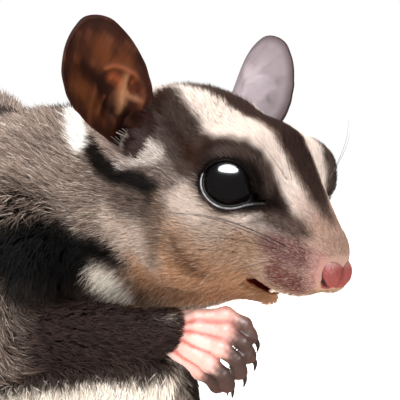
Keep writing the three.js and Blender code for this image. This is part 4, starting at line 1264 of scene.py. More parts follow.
def make_coat(points, faces, normals, materials):
    draw = np.random.default_rng(SEED)
    length, width, density = coat_measures(points)
    density = density * bare_places(points)
    tri, weights = scatter(points, faces, density, draw)
    roots = gather(points, tri, weights)
    looks = unit(gather(normals, tri, weights))
    region = coat_regions(roots)
    for name in sorted(set(region)):
        rows = region == name
        p, n = roots[rows], looks[rows]
        measures = [gather(v[:, None], tri[rows], weights[rows])[:, 0] for v in (length, width)]
        lie, rise = coat_lie(p, n), coat_rise(p)
        outer = p + n * (SEEN_RISE * rise)[:, None] + lie * (SEEN_LENGTH * measures[0])[:, None]
        verts, tris, inks, turned = tufts(
            p, n, lie, measures[0], measures[1], rise, coat_colours(p, outer, draw), draw,
            *(FACE_COAT if name.startswith("face") else BODY_COAT),
        )
        verts[:, 2] = np.maximum(verts[:, 2], LOWEST_HAIR)
        uv = tuft_uvs(p)
        new_mesh("coat_" + name, verts, tris, materials["coat"], "coat", inks, uv, turned)
        print("coat", name, len(tris), "triangles")


# Nose
def nose_distance(q):
    pad = ellipsoid(mirrored(q), (1.15, 2, -0.9), (1.7, 1.85, 2.05))
    return blend(pad, ellipsoid(q, (0, 3, -0.6), (2.2, 2.0, 2.2)), 0.8)


NOSTRIL = [(1.5, 0.3, -2.5), (2.3, 0.9, -2.1), (2.85, 1.6, -1.2), (2.75, 2.3, 0.0)]
NOSTRIL_RADII = [0.08, 0.2, 0.17, 0.06]


def nostril_distance(m):
    d = np.full(m.shape[:-1], UNREACHED)
    for i in range(3):
        d = np.minimum(d, limb(m, NOSTRIL[i], NOSTRIL[i + 1], NOSTRIL_RADII[i], NOSTRIL_RADII[i + 1]))
    return d


def nose_surface(p):
    q = to_head(p)
    d = carve(nose_distance(q), nostril_distance(mirrored(q)), 0.25)
    groove = limb(q, (0, -0.3, 1.0), (0, 0.9, -3.4), 0.22, 0.2)
    d = carve(d, groove, 0.35)
    return d + 0.035 * ragged(p, 0.32, 3)


# Paws: rounded chains joined softly, with pads and creases
RIGHT_FINGERS = [
    [(-7.6, 17.6, 25.6), (-5.8, 14.6, 26.2), (-4.2, 12.7, 25.2), (-3.5, 12.2, 23.6)],
    [(-8.0, 17.2, 24.4), (-6.4, 13.8, 24.3), (-4.7, 12.2, 22.8), (-4.0, 11.9, 21.2)],
    [(-8.4, 17.3, 23.0), (-7.2, 14.0, 22.2), (-5.6, 12.6, 20.7), (-4.9, 12.5, 19.1)],
    [(-8.8, 18.0, 21.5), (-7.9, 15.1, 20.1), (-6.5, 13.8, 18.6), (-5.7, 13.8, 17.3)],
    [(-8.4, 18.8, 20.5), (-7.6, 16.8, 18.8), (-6.3, 15.8, 17.7), (-5.4, 15.6, 16.9)],
]
LEFT_REACH = [(6.2, 28.6), (7.2, 24.8), (10.0, 23.2), (12.9, 24.2), (15.6, 27.4)]
HIND_SOLE = [(25.8, 99.5, 4.2), (25.9, 93, 2.8), (26, 87, 2.2), (26.2, 83, 2.0)]
HIND_TOES = [  # joints, radius and the claw's length
    ([(22.8, 88, 2.4), (19.8, 85.5, 2.4), (18.0, 83, 2.0), (17.2, 80.6, 1.6)], 1.6, 0.0),
    ([(24.2, 83, 2.4), (23.4, 79.6, 2.6), (22.9, 77, 2.0), (22.6, 75, 1.3)], 1.05, 1.8),
    ([(25.4, 82.6, 2.5), (24.9, 79, 2.7), (24.7, 76.2, 2.1), (24.6, 74, 1.3)], 1.05, 1.8),
    ([(26.9, 82.8, 2.5), (27.2, 78.4, 2.9), (27.5, 75, 2.2), (27.7, 72.4, 1.4)], 1.3, 2.1),
    ([(28.4, 83.8, 2.4), (29.6, 79.8, 2.7), (30.6, 77, 2.1), (31.3, 74.8, 1.4)], 1.25, 2.1),
]


def left_fingers():
    fingers = []
    for i, (x, y) in enumerate(LEFT_REACH):
        root = np.array([9.0 + 0.75 * i, 31.6 + 0.4 * abs(i - 2), 1.7])
        reach = np.array([x, y]) - root[:2]
        middle = (*(root[:2] + 0.5 * reach), 2.0)
        bend = (*(root[:2] + 0.8 * reach), 1.5)
        fingers.append([tuple(root), middle, bend, (x, y, 1.0)])
    return fingers


PAWS = {
    "hand_right": {
        "palm": ([(-9.0, 22.4, 23.4), (-7.5, 19.6, 22.9), (-6.6, 17.6, 22.5)], [2.7, 3.4, 3.0], 0.55),
        "flat": (-0.9, 0.3, 0.3),
        "toes": [(joints, 1.16, 1.0) for joints in RIGHT_FINGERS],
    },
    "hand_left": {
        "palm": ([(11, 37.2, 5.4), (10.8, 34, 3.0), (10.5, 31, 2.0)], [2.8, 3.8, 3.7], 0.6),
        "flat": (0, 0.2, 1),
        "toes": [(joints, 1.25, 1.7) for joints in left_fingers()],
    },
}
for side_name, side in sorted(SIDES.items(), reverse=True):
    PAWS["foot_" + side_name] = {
        "palm": ([(x * side, y, z) for x, y, z in HIND_SOLE], [3.0, 3.3, 4.2, 3.8], 0.65),
        "flat": (0, 0, 1),
        "toes": [([(x * side, y, z) for x, y, z in joints], *sizes) for joints, *sizes in HIND_TOES],
    }


LOWEST_PAW = 0.02  # heights over the floor
LOWEST_CLAW = 0.1


def paw_distance(p, paw):
    """The distance to a paw: its palm is a chain of rounded links, thinner across the flat way."""
    line, radii, thin = paw["palm"]
    flat = unit(np.array(paw["flat"], float))
    for i in range(len(line) - 1):
        a, b = np.array(line[i], float), np.array(line[i + 1], float)
        t = limb_place(p, a, b)
        centre = a + t[:, None] * (b - a)
        offset = p - centre
        out = offset @ flat
        squeezed = offset + flat * (out * (1 / thin - 1))[:, None]
        radius = radii[i] + (radii[i + 1] - radii[i]) * t
        link = (np.linalg.norm(squeezed, axis=-1) - radius) * thin
        d = blend(d, link, 0.5) if i else link
    for toe in toe_distances(p, paw):
        d = blend(d, toe, 0.25)
    return d + 0.012 * ragged(p, 0.4, 4)


def toe_distances(p, paw):
    """The distance to each toe: knuckles, a plump pad at the end, and fine creases across it."""
    wrist = np.array(paw["palm"][0][0], float)
    found = []
    for joints, radius, _ in paw["toes"]:
        first = np.array(joints[0], float)
        start = first + 0.55 * (wrist - first)
        toe = limb(p, start, first, radius * 0.7, radius * 0.98)
        widths = [0.98, 0.92, 0.86, 0.84]
        for a, b, ra, rb in zip(joints[:-1], joints[1:], widths[:-1], widths[1:]):
            toe = blend(toe, limb(p, a, b, radius * ra, radius * rb), 0.3)
        toe = blend(toe, away(p, joints[1]) - radius, 0.6)
        end = np.array(joints[3], float)
        back = unit(np.array(joints[2], float) - end)
        pad = away(p - end - back * radius * 0.25, (0, 0, -0.18 * radius))
        toe = blend(toe, pad - radius * 0.9, 0.5)
        along = (p - first) @ unit(end - first)
        found.append(toe + 0.04 * np.sin(along * 4.6) ** 8)
    return found


def paw_surface(p, name):
    return np.maximum(paw_distance(p, PAWS[name]), LOWEST_PAW - p[:, 2])


def grid_about(points, margin, step):
    low, high = points.min(0) - margin, points.max(0) + margin
    return [np.arange(low[i], high[i] + step, step) for i in range(3)]


def paw_piece(name, materials):
    paw = PAWS[name]
    every = np.array([j for joints, _, _ in paw["toes"] for j in joints] + list(paw["palm"][0]), float)
    xs, ys, zs = grid_about(every, 5.0, 0.24)
    points, faces = surface(lambda p: paw_surface(p, name), xs, ys, zs, 1, coarse=1.2, reach=1.8)
    piece = new_mesh(name + "_skin", points, faces, materials["paw"], "skin", paw_colours(points, paw))
    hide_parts(name)


def paw_colours(p, paw):
    c = plain(PAW, p)
    c = paint(c, PAW_PALE, 0.7 * smooth(-0.2, 0.8, ragged(p, 1.6, 21)))
    toes = np.sort(np.stack(toe_distances(p, paw)), axis=0)
    # painted shade in the creases between neighbouring toes
    c = paint(c, PAW_GAP_SHADE, 0.9 * smooth(0.6, 0.0, toes[1] - toes[0]) * smooth(-0.35, 0.1, toes[0]))
    for joints, radius, _ in paw["toes"]:
        c = paint(c, PAW_KNUCKLE, 0.35 * smooth(radius * 1.5, radius * 0.9, away(p, joints[1])))
        end = away(p, joints[3]) + 0.5 * ragged(p, 0.45, 22)
        c = paint(c, PAW_END, 0.9 * smooth(radius * 3.8, radius * 1.8, end))
    return paint(c, PAW_WRIST, 0.85 * smooth(4.2, 2.0, away(p, paw["palm"][0][0])))


def neighbours(count):
    """Each place round a ring with the next."""
    return [(j, (j + 1) % count) for j in range(count)]


def bent_tube(centres, radii, sides):
    """A closed tube through centres, with its end drawn to a point."""
    centres = np.array(centres, float)
    along = unit(np.gradient(centres, axis=0))
    side = unit(np.cross(along, np.where(np.abs(along[:, 2:3]) > 0.9, [[1.0, 0, 0]], [[0, 0, 1.0]])))
    for i in range(1, len(side)):
        if side[i] @ side[i - 1] < 0:
            side[i] *= -1
    other = np.cross(along, side)
    angle = np.arange(sides) / sides * 2 * math.pi
    ring = np.cos(angle)[None, :, None] * side[:, None] + np.sin(angle)[None, :, None] * other[:, None]
    points = (centres[:, None] + ring * np.array(radii)[:, None, None]).reshape(-1, 3)
    faces = []
    for a in range(0, (len(centres) - 1) * sides, sides):
        b = a + sides
        faces += [(a + j, a + k, b + k, b + j) for j, k in neighbours(sides)]
    for start in (0, len(points) - sides):
        order = range(sides) if start else range(sides - 1, -1, -1)
        ring_points = [start + j for j in order]
        for j in range(1, sides - 2, 2):
            faces.append((ring_points[0], ring_points[j], ring_points[j + 1], ring_points[j + 2]))
    return points, np.array(faces)


def joined(made):
    """Several meshes as one, each given as (points, faces)."""
    points, faces, first = [], [], 0
    for p, f in made:
        points.append(p)
        faces.append(f + first)
        first += len(p)
    return np.vstack(points), np.vstack(faces)


def claws(materials):
    made = []
    for paw in PAWS.values():
        for joints, radius, claw in paw["toes"]:
            if claw <= 0:
                continue
            end = np.array(joints[3], float)
            lead = unit(end - np.array(joints[2], float))
            up = unit(np.array([0, 0, 1.0]) - lead * lead[2])
            t = np.linspace(0, 1, 8)[:, None]
            ahead = 0.45 * radius + t * (radius + claw - 0.3 * radius)
            lift = 0.28 * radius + 0.42 * claw * np.sin(t * 2.6) * 0.8 - 0.62 * claw * t**2
            line = end + lead * ahead + up * lift
            line[:, 2] = np.maximum(line[:, 2], LOWEST_CLAW)
            radii = 0.44 * (1 - t[:, 0]) ** 0.7 + 0.03
            made.append(bent_tube(line, radii, 8))
    new_mesh("claws", *joined(made), materials["claw"], "claw")


# Ears: a thin cupped leaf, thicker at its rim, with the folds of its inside
def ear_axes(name):
    side = SIDES[name]
    ear = EARS[name]
    root, tip = (from_head(np.array(ear[k]) * [side, 1, 1]) for k in ("root", "tip"))
    up = unit(tip - root)
    facing = turn_from_head(np.array(ear["facing"]) * [side, 1, 1])
    facing = unit(facing - up * (facing @ up))
    return root, up, facing, np.cross(up, facing)


EAR_OUTLINE = [  # across and up the right ear, from its tip round by the rear edge and the notch
    (0.6, 16.0), (-0.7, 16.1), (-2.1, 15.6), (-3.7, 14.8), (-5.0, 13.9), (-6.1, 12.8), (-7.0, 11.5),
    (-7.2, 10.0), (-7.2, 8.2), (-6.8, 6.6), (-6.0, 5.3), (-5.0, 3.4), (-2.7, 0.3), (0.0, -3.0), (1.2, -2.6),
    (2.5, -1.6), (3.8, -0.2), (4.5, 1.4), (5.0, 3.4), (5.2, 5.0), (5.2, 6.4), (5.2, 8.0), (4.9, 9.7),
    (4.4, 11.6), (3.7, 13.3), (2.9, 14.7), (1.9, 15.5),
]
EAR_CENTRE = (-0.6, 6.8)
EAR_SHIFT = {"left": 0.9, "right": 0.0}  # the left ear's leaf sits this much further forward on its root
EAR_RIM_FOLD = [
    (0.3, 8.8), (1.4, 8.8), (2.3, 8.3), (3.0, 7.6), (3.6, 7.0), (4.1, 5.5), (4.0, 3.8), (3.3, 2.1),
]
EAR_VALLEY = [(-2.7, 10.6), (-1.6, 8.4), (-0.6, 6.6), (-0.5, 4.8), (-0.6, 2.6)]
EAR_RIDGES = [  # raised and sunk lines of the ear's inside: height, radius, and (across, up) along each
    (0.55, 0.8, [(2.5, 6.9), (2.0, 5.9), (1.4, 4.6), (0.9, 3.0)]),
    (0.35, 0.5, [(2.4, 4.5), (3.4, 3.1)]),
    (0.28, 0.45, EAR_RIM_FOLD),
    (0.22, 0.5, [(-2.5, 3.6), (-0.7, 4.9)]),
    (0.18, 0.5, [(-3.6, 4.6), (-1.7, 6.4)]),
    (-0.6, 1.0, EAR_VALLEY),
    (-0.45, 0.7, [(3.3, 5.8), (3.2, 4.6)]),
    (-0.5, 1.4, [(1.8, 0.9), (0.2, -2.0)]),
]
EAR_STROKES = [  # colour, strength, edge, and (across, up, radius) along each: the ear's own colours, painted light along its raised ridges, and painted shade in its fold, hollow and canal
    ((100, 53, 27), 0.85, 2.0, [(0.3, 11.6, 1.2), (1.0, 10.0, 1.6), (3.0, 8.6, 1.2)]),
    ((94, 52, 27), 0.85, 1.6, [(-5.1, 8.9, 1.0), (-3.9, 7.4, 1.4), (-3.2, 4.8, 1.2)]),
    ((74, 36, 25), 0.85, 1.0, [(4.0, 1.7, 1.0), (2.8, 0.9, 1.2)]),
    # painted shade in the sunk fold of the valley
    ((34, 15, 10), 0.9, 0.8, [
        (-2.7, 10.6, 0.4), (-1.6, 8.4, 0.7), (-0.6, 6.6, 0.8), (-0.5, 4.8, 0.7), (-0.6, 2.6, 0.9),
    ]),
    # painted shade: the orange shaded side beside the main ridge
    ((150, 76, 44), 0.85, 0.7, [(0.9, 7.2, 0.5), (1.5, 6.6, 0.5), (1.7, 5.4, 0.4)]),
    # painted light on the top of the main raised ridge
    ((166, 118, 84), 0.95, 0.7, [
        (2.5, 7.0, 0.1), (2.1, 6.0, 0.35), (1.6, 4.7, 0.6), (1.2, 3.4, 0.5), (0.8, 2.3, 0.2),
    ]),
    # painted light on the lower raised ridge
    ((156, 108, 78), 0.85, 0.5, [(2.0, 4.6, 0.4), (2.9, 3.7, 0.4), (3.5, 3.1, 0.25)]),
    # painted light along the raised rim fold
    ((140, 80, 52), 0.75, 0.35, [(x, y, 0.25) for x, y in EAR_RIM_FOLD]),
    # painted shade in the small sunk hollow
    ((116, 60, 35), 0.9, 0.5, [(3.3, 5.8, 0.5), (3.2, 4.6, 0.6)]),
    # painted light along the small raised ridge towards the rear
    ((120, 70, 42), 0.6, 0.3, [(-2.5, 3.6, 0.2), (-0.7, 4.9, 0.25)]),
    # painted shade in the canal's opening
    ((24, 10, 9), 0.98, 0.9, [(1.8, 0.8, 1.4), (0.7, -0.6, 1.2), (0.0, -2.7, 0.8)]),
]


def round_line(points, count):
    """A smooth closed line through points."""
    closed = np.array(points + points[:3], float)
    t = (1 + np.arange(count) / count * len(points)) / (len(closed) - 1)
    return curve(closed, t)


def line_distance(flat, line):
    d = np.full(len(flat), UNREACHED)
    for a, b in zip(line[:-1], line[1:]):
        a, b = np.array(a, float), np.array(b, float)
        t = limb_place(flat, a[:2], b[:2])
        reach = away(flat - a[:2], t[:, None] * (b[:2] - a[:2]))
        d = np.minimum(d, reach - (a[2] + (b[2] - a[2]) * t if len(a) > 2 else 0))
    return d


def ear_relief(flat):
    total = 0.03 * ragged(np.c_[flat, flat[:, :1] * 0], 1.4, 35)
    for lift, radius, line in EAR_RIDGES:
        total = total + lift * np.exp(-((line_distance(flat, line) / radius) ** 2))
    return total


def ear_shape(flat, name, depth_share):
    """Places on the ear. flat is across and up, and depth_share 0 on its front and 1 on its back."""
    side = SIDES[name]
    root, up, facing, wide = ear_axes(name)
    across, height = flat[:, 0] + EAR_SHIFT[name], flat[:, 1]
    low = np.clip(0.5 - height / EAR_LENGTH, 0, 1) * 2
    cup = 0.07 * across**2 * (1 + 0.9 * low) - 0.012 * (height - 9) ** 2
    cup = cup + 0.2 * np.maximum(4.2 - height, 0)
    flat_place = root + height[:, None] * up - side * across[:, None] * wide
    return flat_place + (cup - 1.2 - depth_share)[:, None] * facing


EAR_RINGS = 60
EAR_AROUND = 190
EAR_MIDDLE_THICKNESS = 0.6
EAR_THINNING = 0.22  # how much thinner it is at its edge
EAR_LIP = 0.2
EAR_LIP_AT = 0.955  # share of the way out to the edge
EAR_LIP_WIDTH = 0.025


def ear_depth(flat, share, back):
    """How deep a face of the leaf lies at one ring, with its relief and the raised lip of its front."""
    thickness = (EAR_MIDDLE_THICKNESS - EAR_THINNING * share) * math.sqrt(max(1 - share**24, 0.0))
    relief = ear_relief(flat) * smooth(1.0, 0.86, share)
    relief = np.where(relief > 0, relief * (0.5 if back else 1.0), relief)
    lip = EAR_LIP * math.exp(-(((share - EAR_LIP_AT) / EAR_LIP_WIDTH) ** 2)) * (1 - back)
    return 0.5 + (0.5 if back else -0.5) * thickness - relief - lip


def ear_faces():
    """Quads of the front and back, ring by ring, and then those that close the edge."""
    faces = []
    size = (EAR_RINGS + 1) * EAR_AROUND
    pairs = neighbours(EAR_AROUND)
    for a in range(0, EAR_RINGS * EAR_AROUND, EAR_AROUND):
        b = a + EAR_AROUND
        for j, k in pairs:
            faces.append((a + j, b + j, b + k, a + k))
            faces.append((size + a + k, size + b + k, size + b + j, size + a + j))
    last = EAR_RINGS * EAR_AROUND
    faces += [(last + j, size + last + j, size + last + k, last + k) for j, k in pairs]
    return np.array(faces)


def ear_piece(name, materials):
    outline = round_line(EAR_OUTLINE, EAR_AROUND)
    middle = np.array(EAR_CENTRE)
    points, inks = [], []
    for back in (0, 1):
        for ring in range(EAR_RINGS + 1):
            share = 1 - (1 - ring / EAR_RINGS) ** 1.15
            flat = middle + share * (outline - middle)
            points.append(ear_shape(flat, name, ear_depth(flat, share, back)))
            inks.append(ear_colours(flat, np.full(EAR_AROUND, share), back))
    points, inks = np.vstack(points), np.vstack(inks)
    piece = new_mesh("ear_" + name + "_leaf", points, ear_faces(), materials["ear"], "ear", inks)
    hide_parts("ear_" + name)


def ear_colours(flat, share, back):
    place3 = np.c_[flat, np.full(len(flat), 3.0 * back)]
    fine = ragged(place3, 0.9, 36)
    if back:
        c = plain(EAR_BACK, place3)
        c = paint(c, EAR_BACK_MIDDLE, 0.6 * smooth(0.75, 0.2, share))
        c = paint(c, EAR_BACK_MARGIN, smooth(0.8, 0.99, share) * 0.9)
        c = paint(c, EAR_BACK_MOTTLE, 0.35 * smooth(-0.1, 0.9, fine))
        return paint(c, EAR_EDGE, smooth(0.965, 0.995, share))
    c = plain(EAR_FRONT, place3)
    for colour, amount, soft, line in EAR_STROKES:
        c = paint(c, colour, smooth(soft, -soft, line_distance(flat, line)) * amount)
    margin = smooth(0.66, 0.95, share + 0.05 * ragged(place3, 2.5, 31))
    c = paint(c, EAR_MARGIN, margin * 0.9 * smooth(-3, 1, flat[:, 1]))
    c = paint(c, EAR_DARK_MOTTLE, 0.5 * smooth(0.0, 0.8, fine))
    return paint(c, EAR_PALE_MOTTLE, 0.25 * smooth(0.1, 0.9, -fine))


# Eyes and lids
EYE_RINGS = 32
EYE_AROUND = 48


def eye_piece(name, materials):
    """A ball of rings from the pole that looks out to the one behind."""
    eye = EYES[name]
    points = [eye["centre"] + eye["aim"] * EYE_RADIUS]
    angle = np.arange(EYE_AROUND) / EYE_AROUND * 2 * math.pi
    ring = np.cos(angle)[:, None] * eye["long"] + np.sin(angle)[:, None] * eye["tall"]
    for i in range(1, EYE_RINGS):
        theta = math.pi * i / EYE_RINGS
        points.extend(eye["centre"] + EYE_RADIUS * (math.cos(theta) * eye["aim"] + math.sin(theta) * ring))
    points.append(eye["centre"] - eye["aim"] * EYE_RADIUS)
    last = len(points) - 1
    tris = []
    for j, k in neighbours(EYE_AROUND):
        tris += [(0, 1 + j, 1 + k), (last, last - EYE_AROUND + k, last - EYE_AROUND + j)]
    for a in range(1, last - EYE_AROUND, EYE_AROUND):
        b = a + EYE_AROUND
        for j, k in neighbours(EYE_AROUND):
            tris += [(a + j, b + j, b + k), (a + j, b + k, a + k)]
    piece = new_mesh("eyeball_" + name, np.array(points), np.array(tris), materials["eye"], "eye")
    fix_outwards(piece)
    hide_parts("eye_" + name)


def fix_outwards(piece):
    made = bmesh.new()
    made.from_mesh(piece.data)
    bmesh.ops.recalc_face_normals(made, faces=made.faces)
    made.to_mesh(piece.data)
    made.free()


def lid_distance(p, name):
    eye = EYES[name]
    reach = away(p, eye["centre"])
    forward = (p - eye["centre"]) @ eye["aim"]
    corner = eye["centre"] + eye["long"] * 4.5 + eye["aim"] * 0.9 + eye["tall"] * 0.45
    body = blend(reach - (EYE_RADIUS + 0.34), away(p, corner) - 1.55, 1.0)
    shell = np.maximum(body, EYE_RADIUS - 0.25 - reach)
    shell = carve(shell, np.maximum(opening_distance(p, name), 0.4 - forward), 0.28)
    return np.maximum(shell, 1.0 - forward)


def lid_piece(name, materials):
    eye = EYES[name]
    xs, ys, zs = grid_about(eye["centre"][None], 6.4, 0.16)
    points, faces = surface(lambda p: lid_distance(p, name), xs, ys, zs, 1, coarse=0.8, reach=1.2)
    offset = points - eye["centre"]
    edge = opening_distance(points, name)
    tall = offset @ eye["tall"]
    along = offset @ eye["long"]
    c = plain(LID_DARK, points)
    rim = smooth(0.26, 0.08, edge) * smooth(EYE_RADIUS - 0.1, EYE_RADIUS + 0.12, away(points, eye["centre"]))
    # painted reflection: a pale shine along the lower lid's rim only
    c = paint(c, LID_RIM_REFLECTION, rim * smooth(0.2, -0.3, tall + 0.4 - 0.16 * along))
    c = paint(c, LID_CORNER, smooth(3.6, 4.4, along) * smooth(1.2, 0.3, np.abs(tall + 0.1)) * 0.7)
    new_mesh("eyelids_" + name, points, faces, materials["lid"], "skin", c)


# Whiskers and the hairs of the brow, as (root, end, lift, radius) in the head's own axes
WHISKERS = [
    ((5.0, 6.6, 0.6), (17.0, 20.0, -1.6), 2.0, 0.032), ((5.2, 6.4, 0.6), (19.5, 18.5, 0.2), 1.8, 0.036),
    ((5.6, 7.6, 0.2), (20.0, 22.0, -3.2), 2.2, 0.032), ((5.4, 7.2, -0.2), (18.5, 17.0, -4.0), 1.4, 0.03),
    ((4.9, 4.8, -0.8), (12.0, 9.0, -6.0), 0.6, 0.024), ((5.3, 6.2, -1.0), (15.0, 13.0, -7.0), 0.8, 0.028),
    ((4.4, 4.6, 1.4), (10.0, 8.5, 5.0), 1.0, 0.022), ((4.0, 10.4, 8.0), (7.0, 13.0, 15.0), 0.8, 0.03),
    ((4.4, 10.8, 7.8), (9.5, 15.0, 13.0), 0.8, 0.026), ((11.8, 18.0, -3.8), (17.0, 23.0, -8.5), 0.8, 0.028),
]


def whiskers(materials):
    draw = np.random.default_rng(SEED + 7)
    made = []
    for side in sorted(SIDES.values()):
        for root, end, lift, radius in WHISKERS:
            a = np.array(root) * [side, 1, 1]
            b = np.array(end) * [side, 1, 1] + draw.normal(0, 0.6, 3)
            t = np.linspace(0, 1, 14)[:, None]
            line = a + (b - a) * t
            line[:, 2] += lift * np.sin(t[:, 0] * math.pi) * 0.9
            line[:, 0] += side * 0.8 * np.sin(t[:, 0] * math.pi)
            made.append(bent_tube(from_head(line), radius * (1 - t[:, 0]) ** 0.7 + 0.008, 5))
    new_mesh("whiskers", *joined(made), materials["whisker"], "dark")


TOOTH_APART = 0.42
TEETH = [  # (share of the way to the side, y, z) and radii, of an upper and a lower one
    ([(1, 4.4, -3.6), (1, 3.9, -4.5), (0.9, 3.8, -5.2)], [0.4, 0.36, 0.2]),
    ([(0.8, 10.2, -8.8), (0.8, 9.4, -8.0), (0.7, 8.9, -7.3)], [0.36, 0.32, 0.16]),
]


def teeth(materials):
    made = []
    for x in (-TOOTH_APART, TOOTH_APART):
        for line, radii in TEETH:
            made.append(bent_tube(from_head(np.array(line) * [x, 1, 1]), radii, 6))
    new_mesh("incisors", *joined(made), materials["tooth"], "pale")


# Materials
def material(name, colour=(128, 128, 128), rough=0.6, attribute=False, bump=None, **values):
    made = bpy.data.materials.new(name)
    made.use_nodes = True
    nodes, links = made.node_tree.nodes, made.node_tree.links
    shader = nodes["Principled BSDF"]
    shader.inputs["Base Color"].default_value = (*linear(colour), 1)
    shader.inputs["Roughness"].default_value = rough
    for key, value in values.items():
        shader.inputs[key.replace("_", " ")].default_value = value
    if attribute:
        source = nodes.new("ShaderNodeVertexColor")
        source.layer_name = "Coat"
        links.new(source.outputs["Color"], shader.inputs["Base Color"])
    if bump:
        scale, strength, distance = bump
        where = nodes.new("ShaderNodeTexCoord")
        noise = nodes.new("ShaderNodeTexNoise")
        noise.inputs["Scale"].default_value = scale
        noise.inputs["Detail"].default_value = 4
        lump = nodes.new("ShaderNodeBump")
        lump.inputs["Strength"].default_value = strength
        lump.inputs["Distance"].default_value = distance
        links.new(where.outputs["Object"], noise.inputs["Vector"])
        links.new(noise.outputs["Fac"], lump.inputs["Height"])
        links.new(lump.outputs["Normal"], shader.inputs["Normal"])
    return made


def make_materials():
    return {
        "skin": material("skin under the coat", rough=0.9, attribute=True, bump=(900, 0.5, 0.0004),
                         Specular_IOR_Level=0.04),
        "coat": material("coat", rough=0.62, attribute=True, Specular_IOR_Level=0.04),
        "paw": material("bare paw skin", rough=0.46, attribute=True, bump=(2600, 0.35, 0.0002),
                        Subsurface_Weight=0.35, Subsurface_Scale=0.002),
        "ear": material("ear skin", rough=0.55, attribute=True, bump=(2600, 0.35, 0.00016),
                        Subsurface_Weight=0.04, Subsurface_Scale=0.0008, Specular_IOR_Level=0.05),
        "nose": material("nose skin", rough=0.42, attribute=True, bump=(3400, 0.6, 0.00022),
                         Subsurface_Weight=0.1, Subsurface_Scale=0.0008, Specular_IOR_Level=0.35),
        "lid": material("lid skin", rough=0.5, attribute=True, bump=(3000, 0.4, 0.00015),
                        Specular_IOR_Level=0.06),
        "eye": material("eye", (9, 6, 6), 0.16, bump=(160, 0.02, 0.0001),
                        Coat_Weight=0.8, Coat_Roughness=0.07),
        "claw": material("claw", (58, 44, 40), 0.32, bump=(1500, 0.2, 0.0002)),
        "whisker": material("whisker", (44, 34, 32), 0.4, bump=(2000, 0.2, 0.00004)),
        "tooth": material("tooth", (240, 228, 204), 0.25, bump=(1500, 0.1, 0.0001)),
        "floor": material("floor", (244, 243, 241), 0.7, Emission_Color=(1, 1, 1, 1), Emission_Strength=0.6),
    }


def nose_piece(materials):
    q = np.array([[x, y, z] for x in (-3.6, 3.6) for y in (-0.4, 5.4) for z in (-3.4, 2.0)])
    xs, ys, zs = grid_about(from_head(q), 0.6, 0.17)
    points, faces = surface(nose_surface, xs, ys, zs, 1, coarse=0.8, reach=1.2)
    h = to_head(points)
    m = mirrored(h)
    c = plain(NOSE, points)
    c = paint(c, NOSE_MOTTLE, 0.6 * smooth(-0.2, 0.8, ragged(points, 1.2, 41)))
    # painted light: the nose pad grows paler towards its top
    c = paint(c, NOSE_TOP_LIGHT, 0.85 * smooth(0.2, 1.1, h[:, 2]))
    # painted shade in the carved nostril slits
    c = paint(c, NOSTRIL_SHADE, smooth(0.22, 0.02, nostril_distance(m)) * 0.97)
    # painted shade along the carved middle groove of the pad
    c = paint(c, NOSE_GROOVE_SHADE, smooth(0.5, 0.15, m[:, 0]) * 0.6 * (h[:, 2] < 0.7))
    piece = new_mesh("nose_pad", points, faces, materials["nose"], "skin", c)
    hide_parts("nose")


# Stage, light and camera
def soft_light(name, spot, target, size, power, colour, shape="RECTANGLE"):
    lamp = bpy.data.lights.new(name, "AREA")
    lamp.shape = shape
    lamp.size, lamp.size_y = size
    lamp.energy = power
    lamp.color = colour
    holder = bpy.data.objects.new(name, lamp)
    holder.location = spot
    holder.rotation_euler = (Vector(target) - Vector(spot)).to_track_quat("-Z", "Y").to_euler()
    holder.visible_glossy = False
    bpy.context.scene.collection.objects.link(holder)
    return holder


FLOOR_REACH = 3.0  # metres each way


def stage(materials):
    mesh = bpy.data.meshes.new("floor")
    corners = [(x * FLOOR_REACH, y * FLOOR_REACH, 0) for x, y in ((-1, -1), (1, -1), (1, 1), (-1, 1))]
    mesh.from_pydata(corners, [], [(0, 1, 2, 3)])
    mesh.materials.append(materials["floor"])
    floor = bpy.data.objects.new("floor", mesh)
    bpy.context.scene.collection.objects.link(floor)
    floor.visible_glossy = False


def background(nodes, colour, strength):
    made = nodes.new("ShaderNodeBackground")
    made.inputs["Color"].default_value = (*colour, 1)
    made.inputs["Strength"].default_value = strength
    return made.outputs["Background"]


def world():
    scene = bpy.context.scene
    scene.world = bpy.data.worlds.new("studio")
    scene.world.use_nodes = True
    nodes, links = scene.world.node_tree.nodes, scene.world.node_tree.links
    path = nodes.new("ShaderNodeLightPath")
    mix = nodes.new("ShaderNodeMixShader")
    glossy = nodes.new("ShaderNodeMixShader")
    links.new(path.outputs["Is Camera Ray"], mix.inputs["Fac"])
    links.new(path.outputs["Is Glossy Ray"], glossy.inputs["Fac"])
    links.new(background(nodes, (1, 0.985, 0.97), 0.55), glossy.inputs[1])
    links.new(background(nodes, (0.9, 0.95, 1), 0.1), glossy.inputs[2])
    links.new(glossy.outputs["Shader"], mix.inputs[1])
    links.new(background(nodes, (1, 1, 1), 1.0), mix.inputs[2])
    links.new(mix.outputs["Shader"], nodes["World Output"].inputs["Surface"])


CAMERA_AZIMUTH = math.radians(-49)
CAMERA_ELEVATION = math.radians(4)
CAMERA_ROLL = math.radians(3)
CAMERA_DISTANCE = 200.0
CAMERA_AIM = (0, 15, 41)
CAMERA_SHIFT = (-7.6, -0.3)
CAMERA_LENS = 136.44
SENSOR_WIDTH = 36


def camera_axes():
    ca, sa = math.cos(CAMERA_AZIMUTH), math.sin(CAMERA_AZIMUTH)
    ce, se = math.cos(CAMERA_ELEVATION), math.sin(CAMERA_ELEVATION)
    back = np.array([sa * ce, -ca * ce, se])
    right = np.array([ca, sa, 0.0])
    up = np.cross(back, right)
    aim = np.array(CAMERA_AIM, float) + right * CAMERA_SHIFT[0] + up * CAMERA_SHIFT[1]
    cr, sr = math.cos(CAMERA_ROLL), math.sin(CAMERA_ROLL)
    return cr * right + sr * up, cr * up - sr * right, back, aim + back * CAMERA_DISTANCE


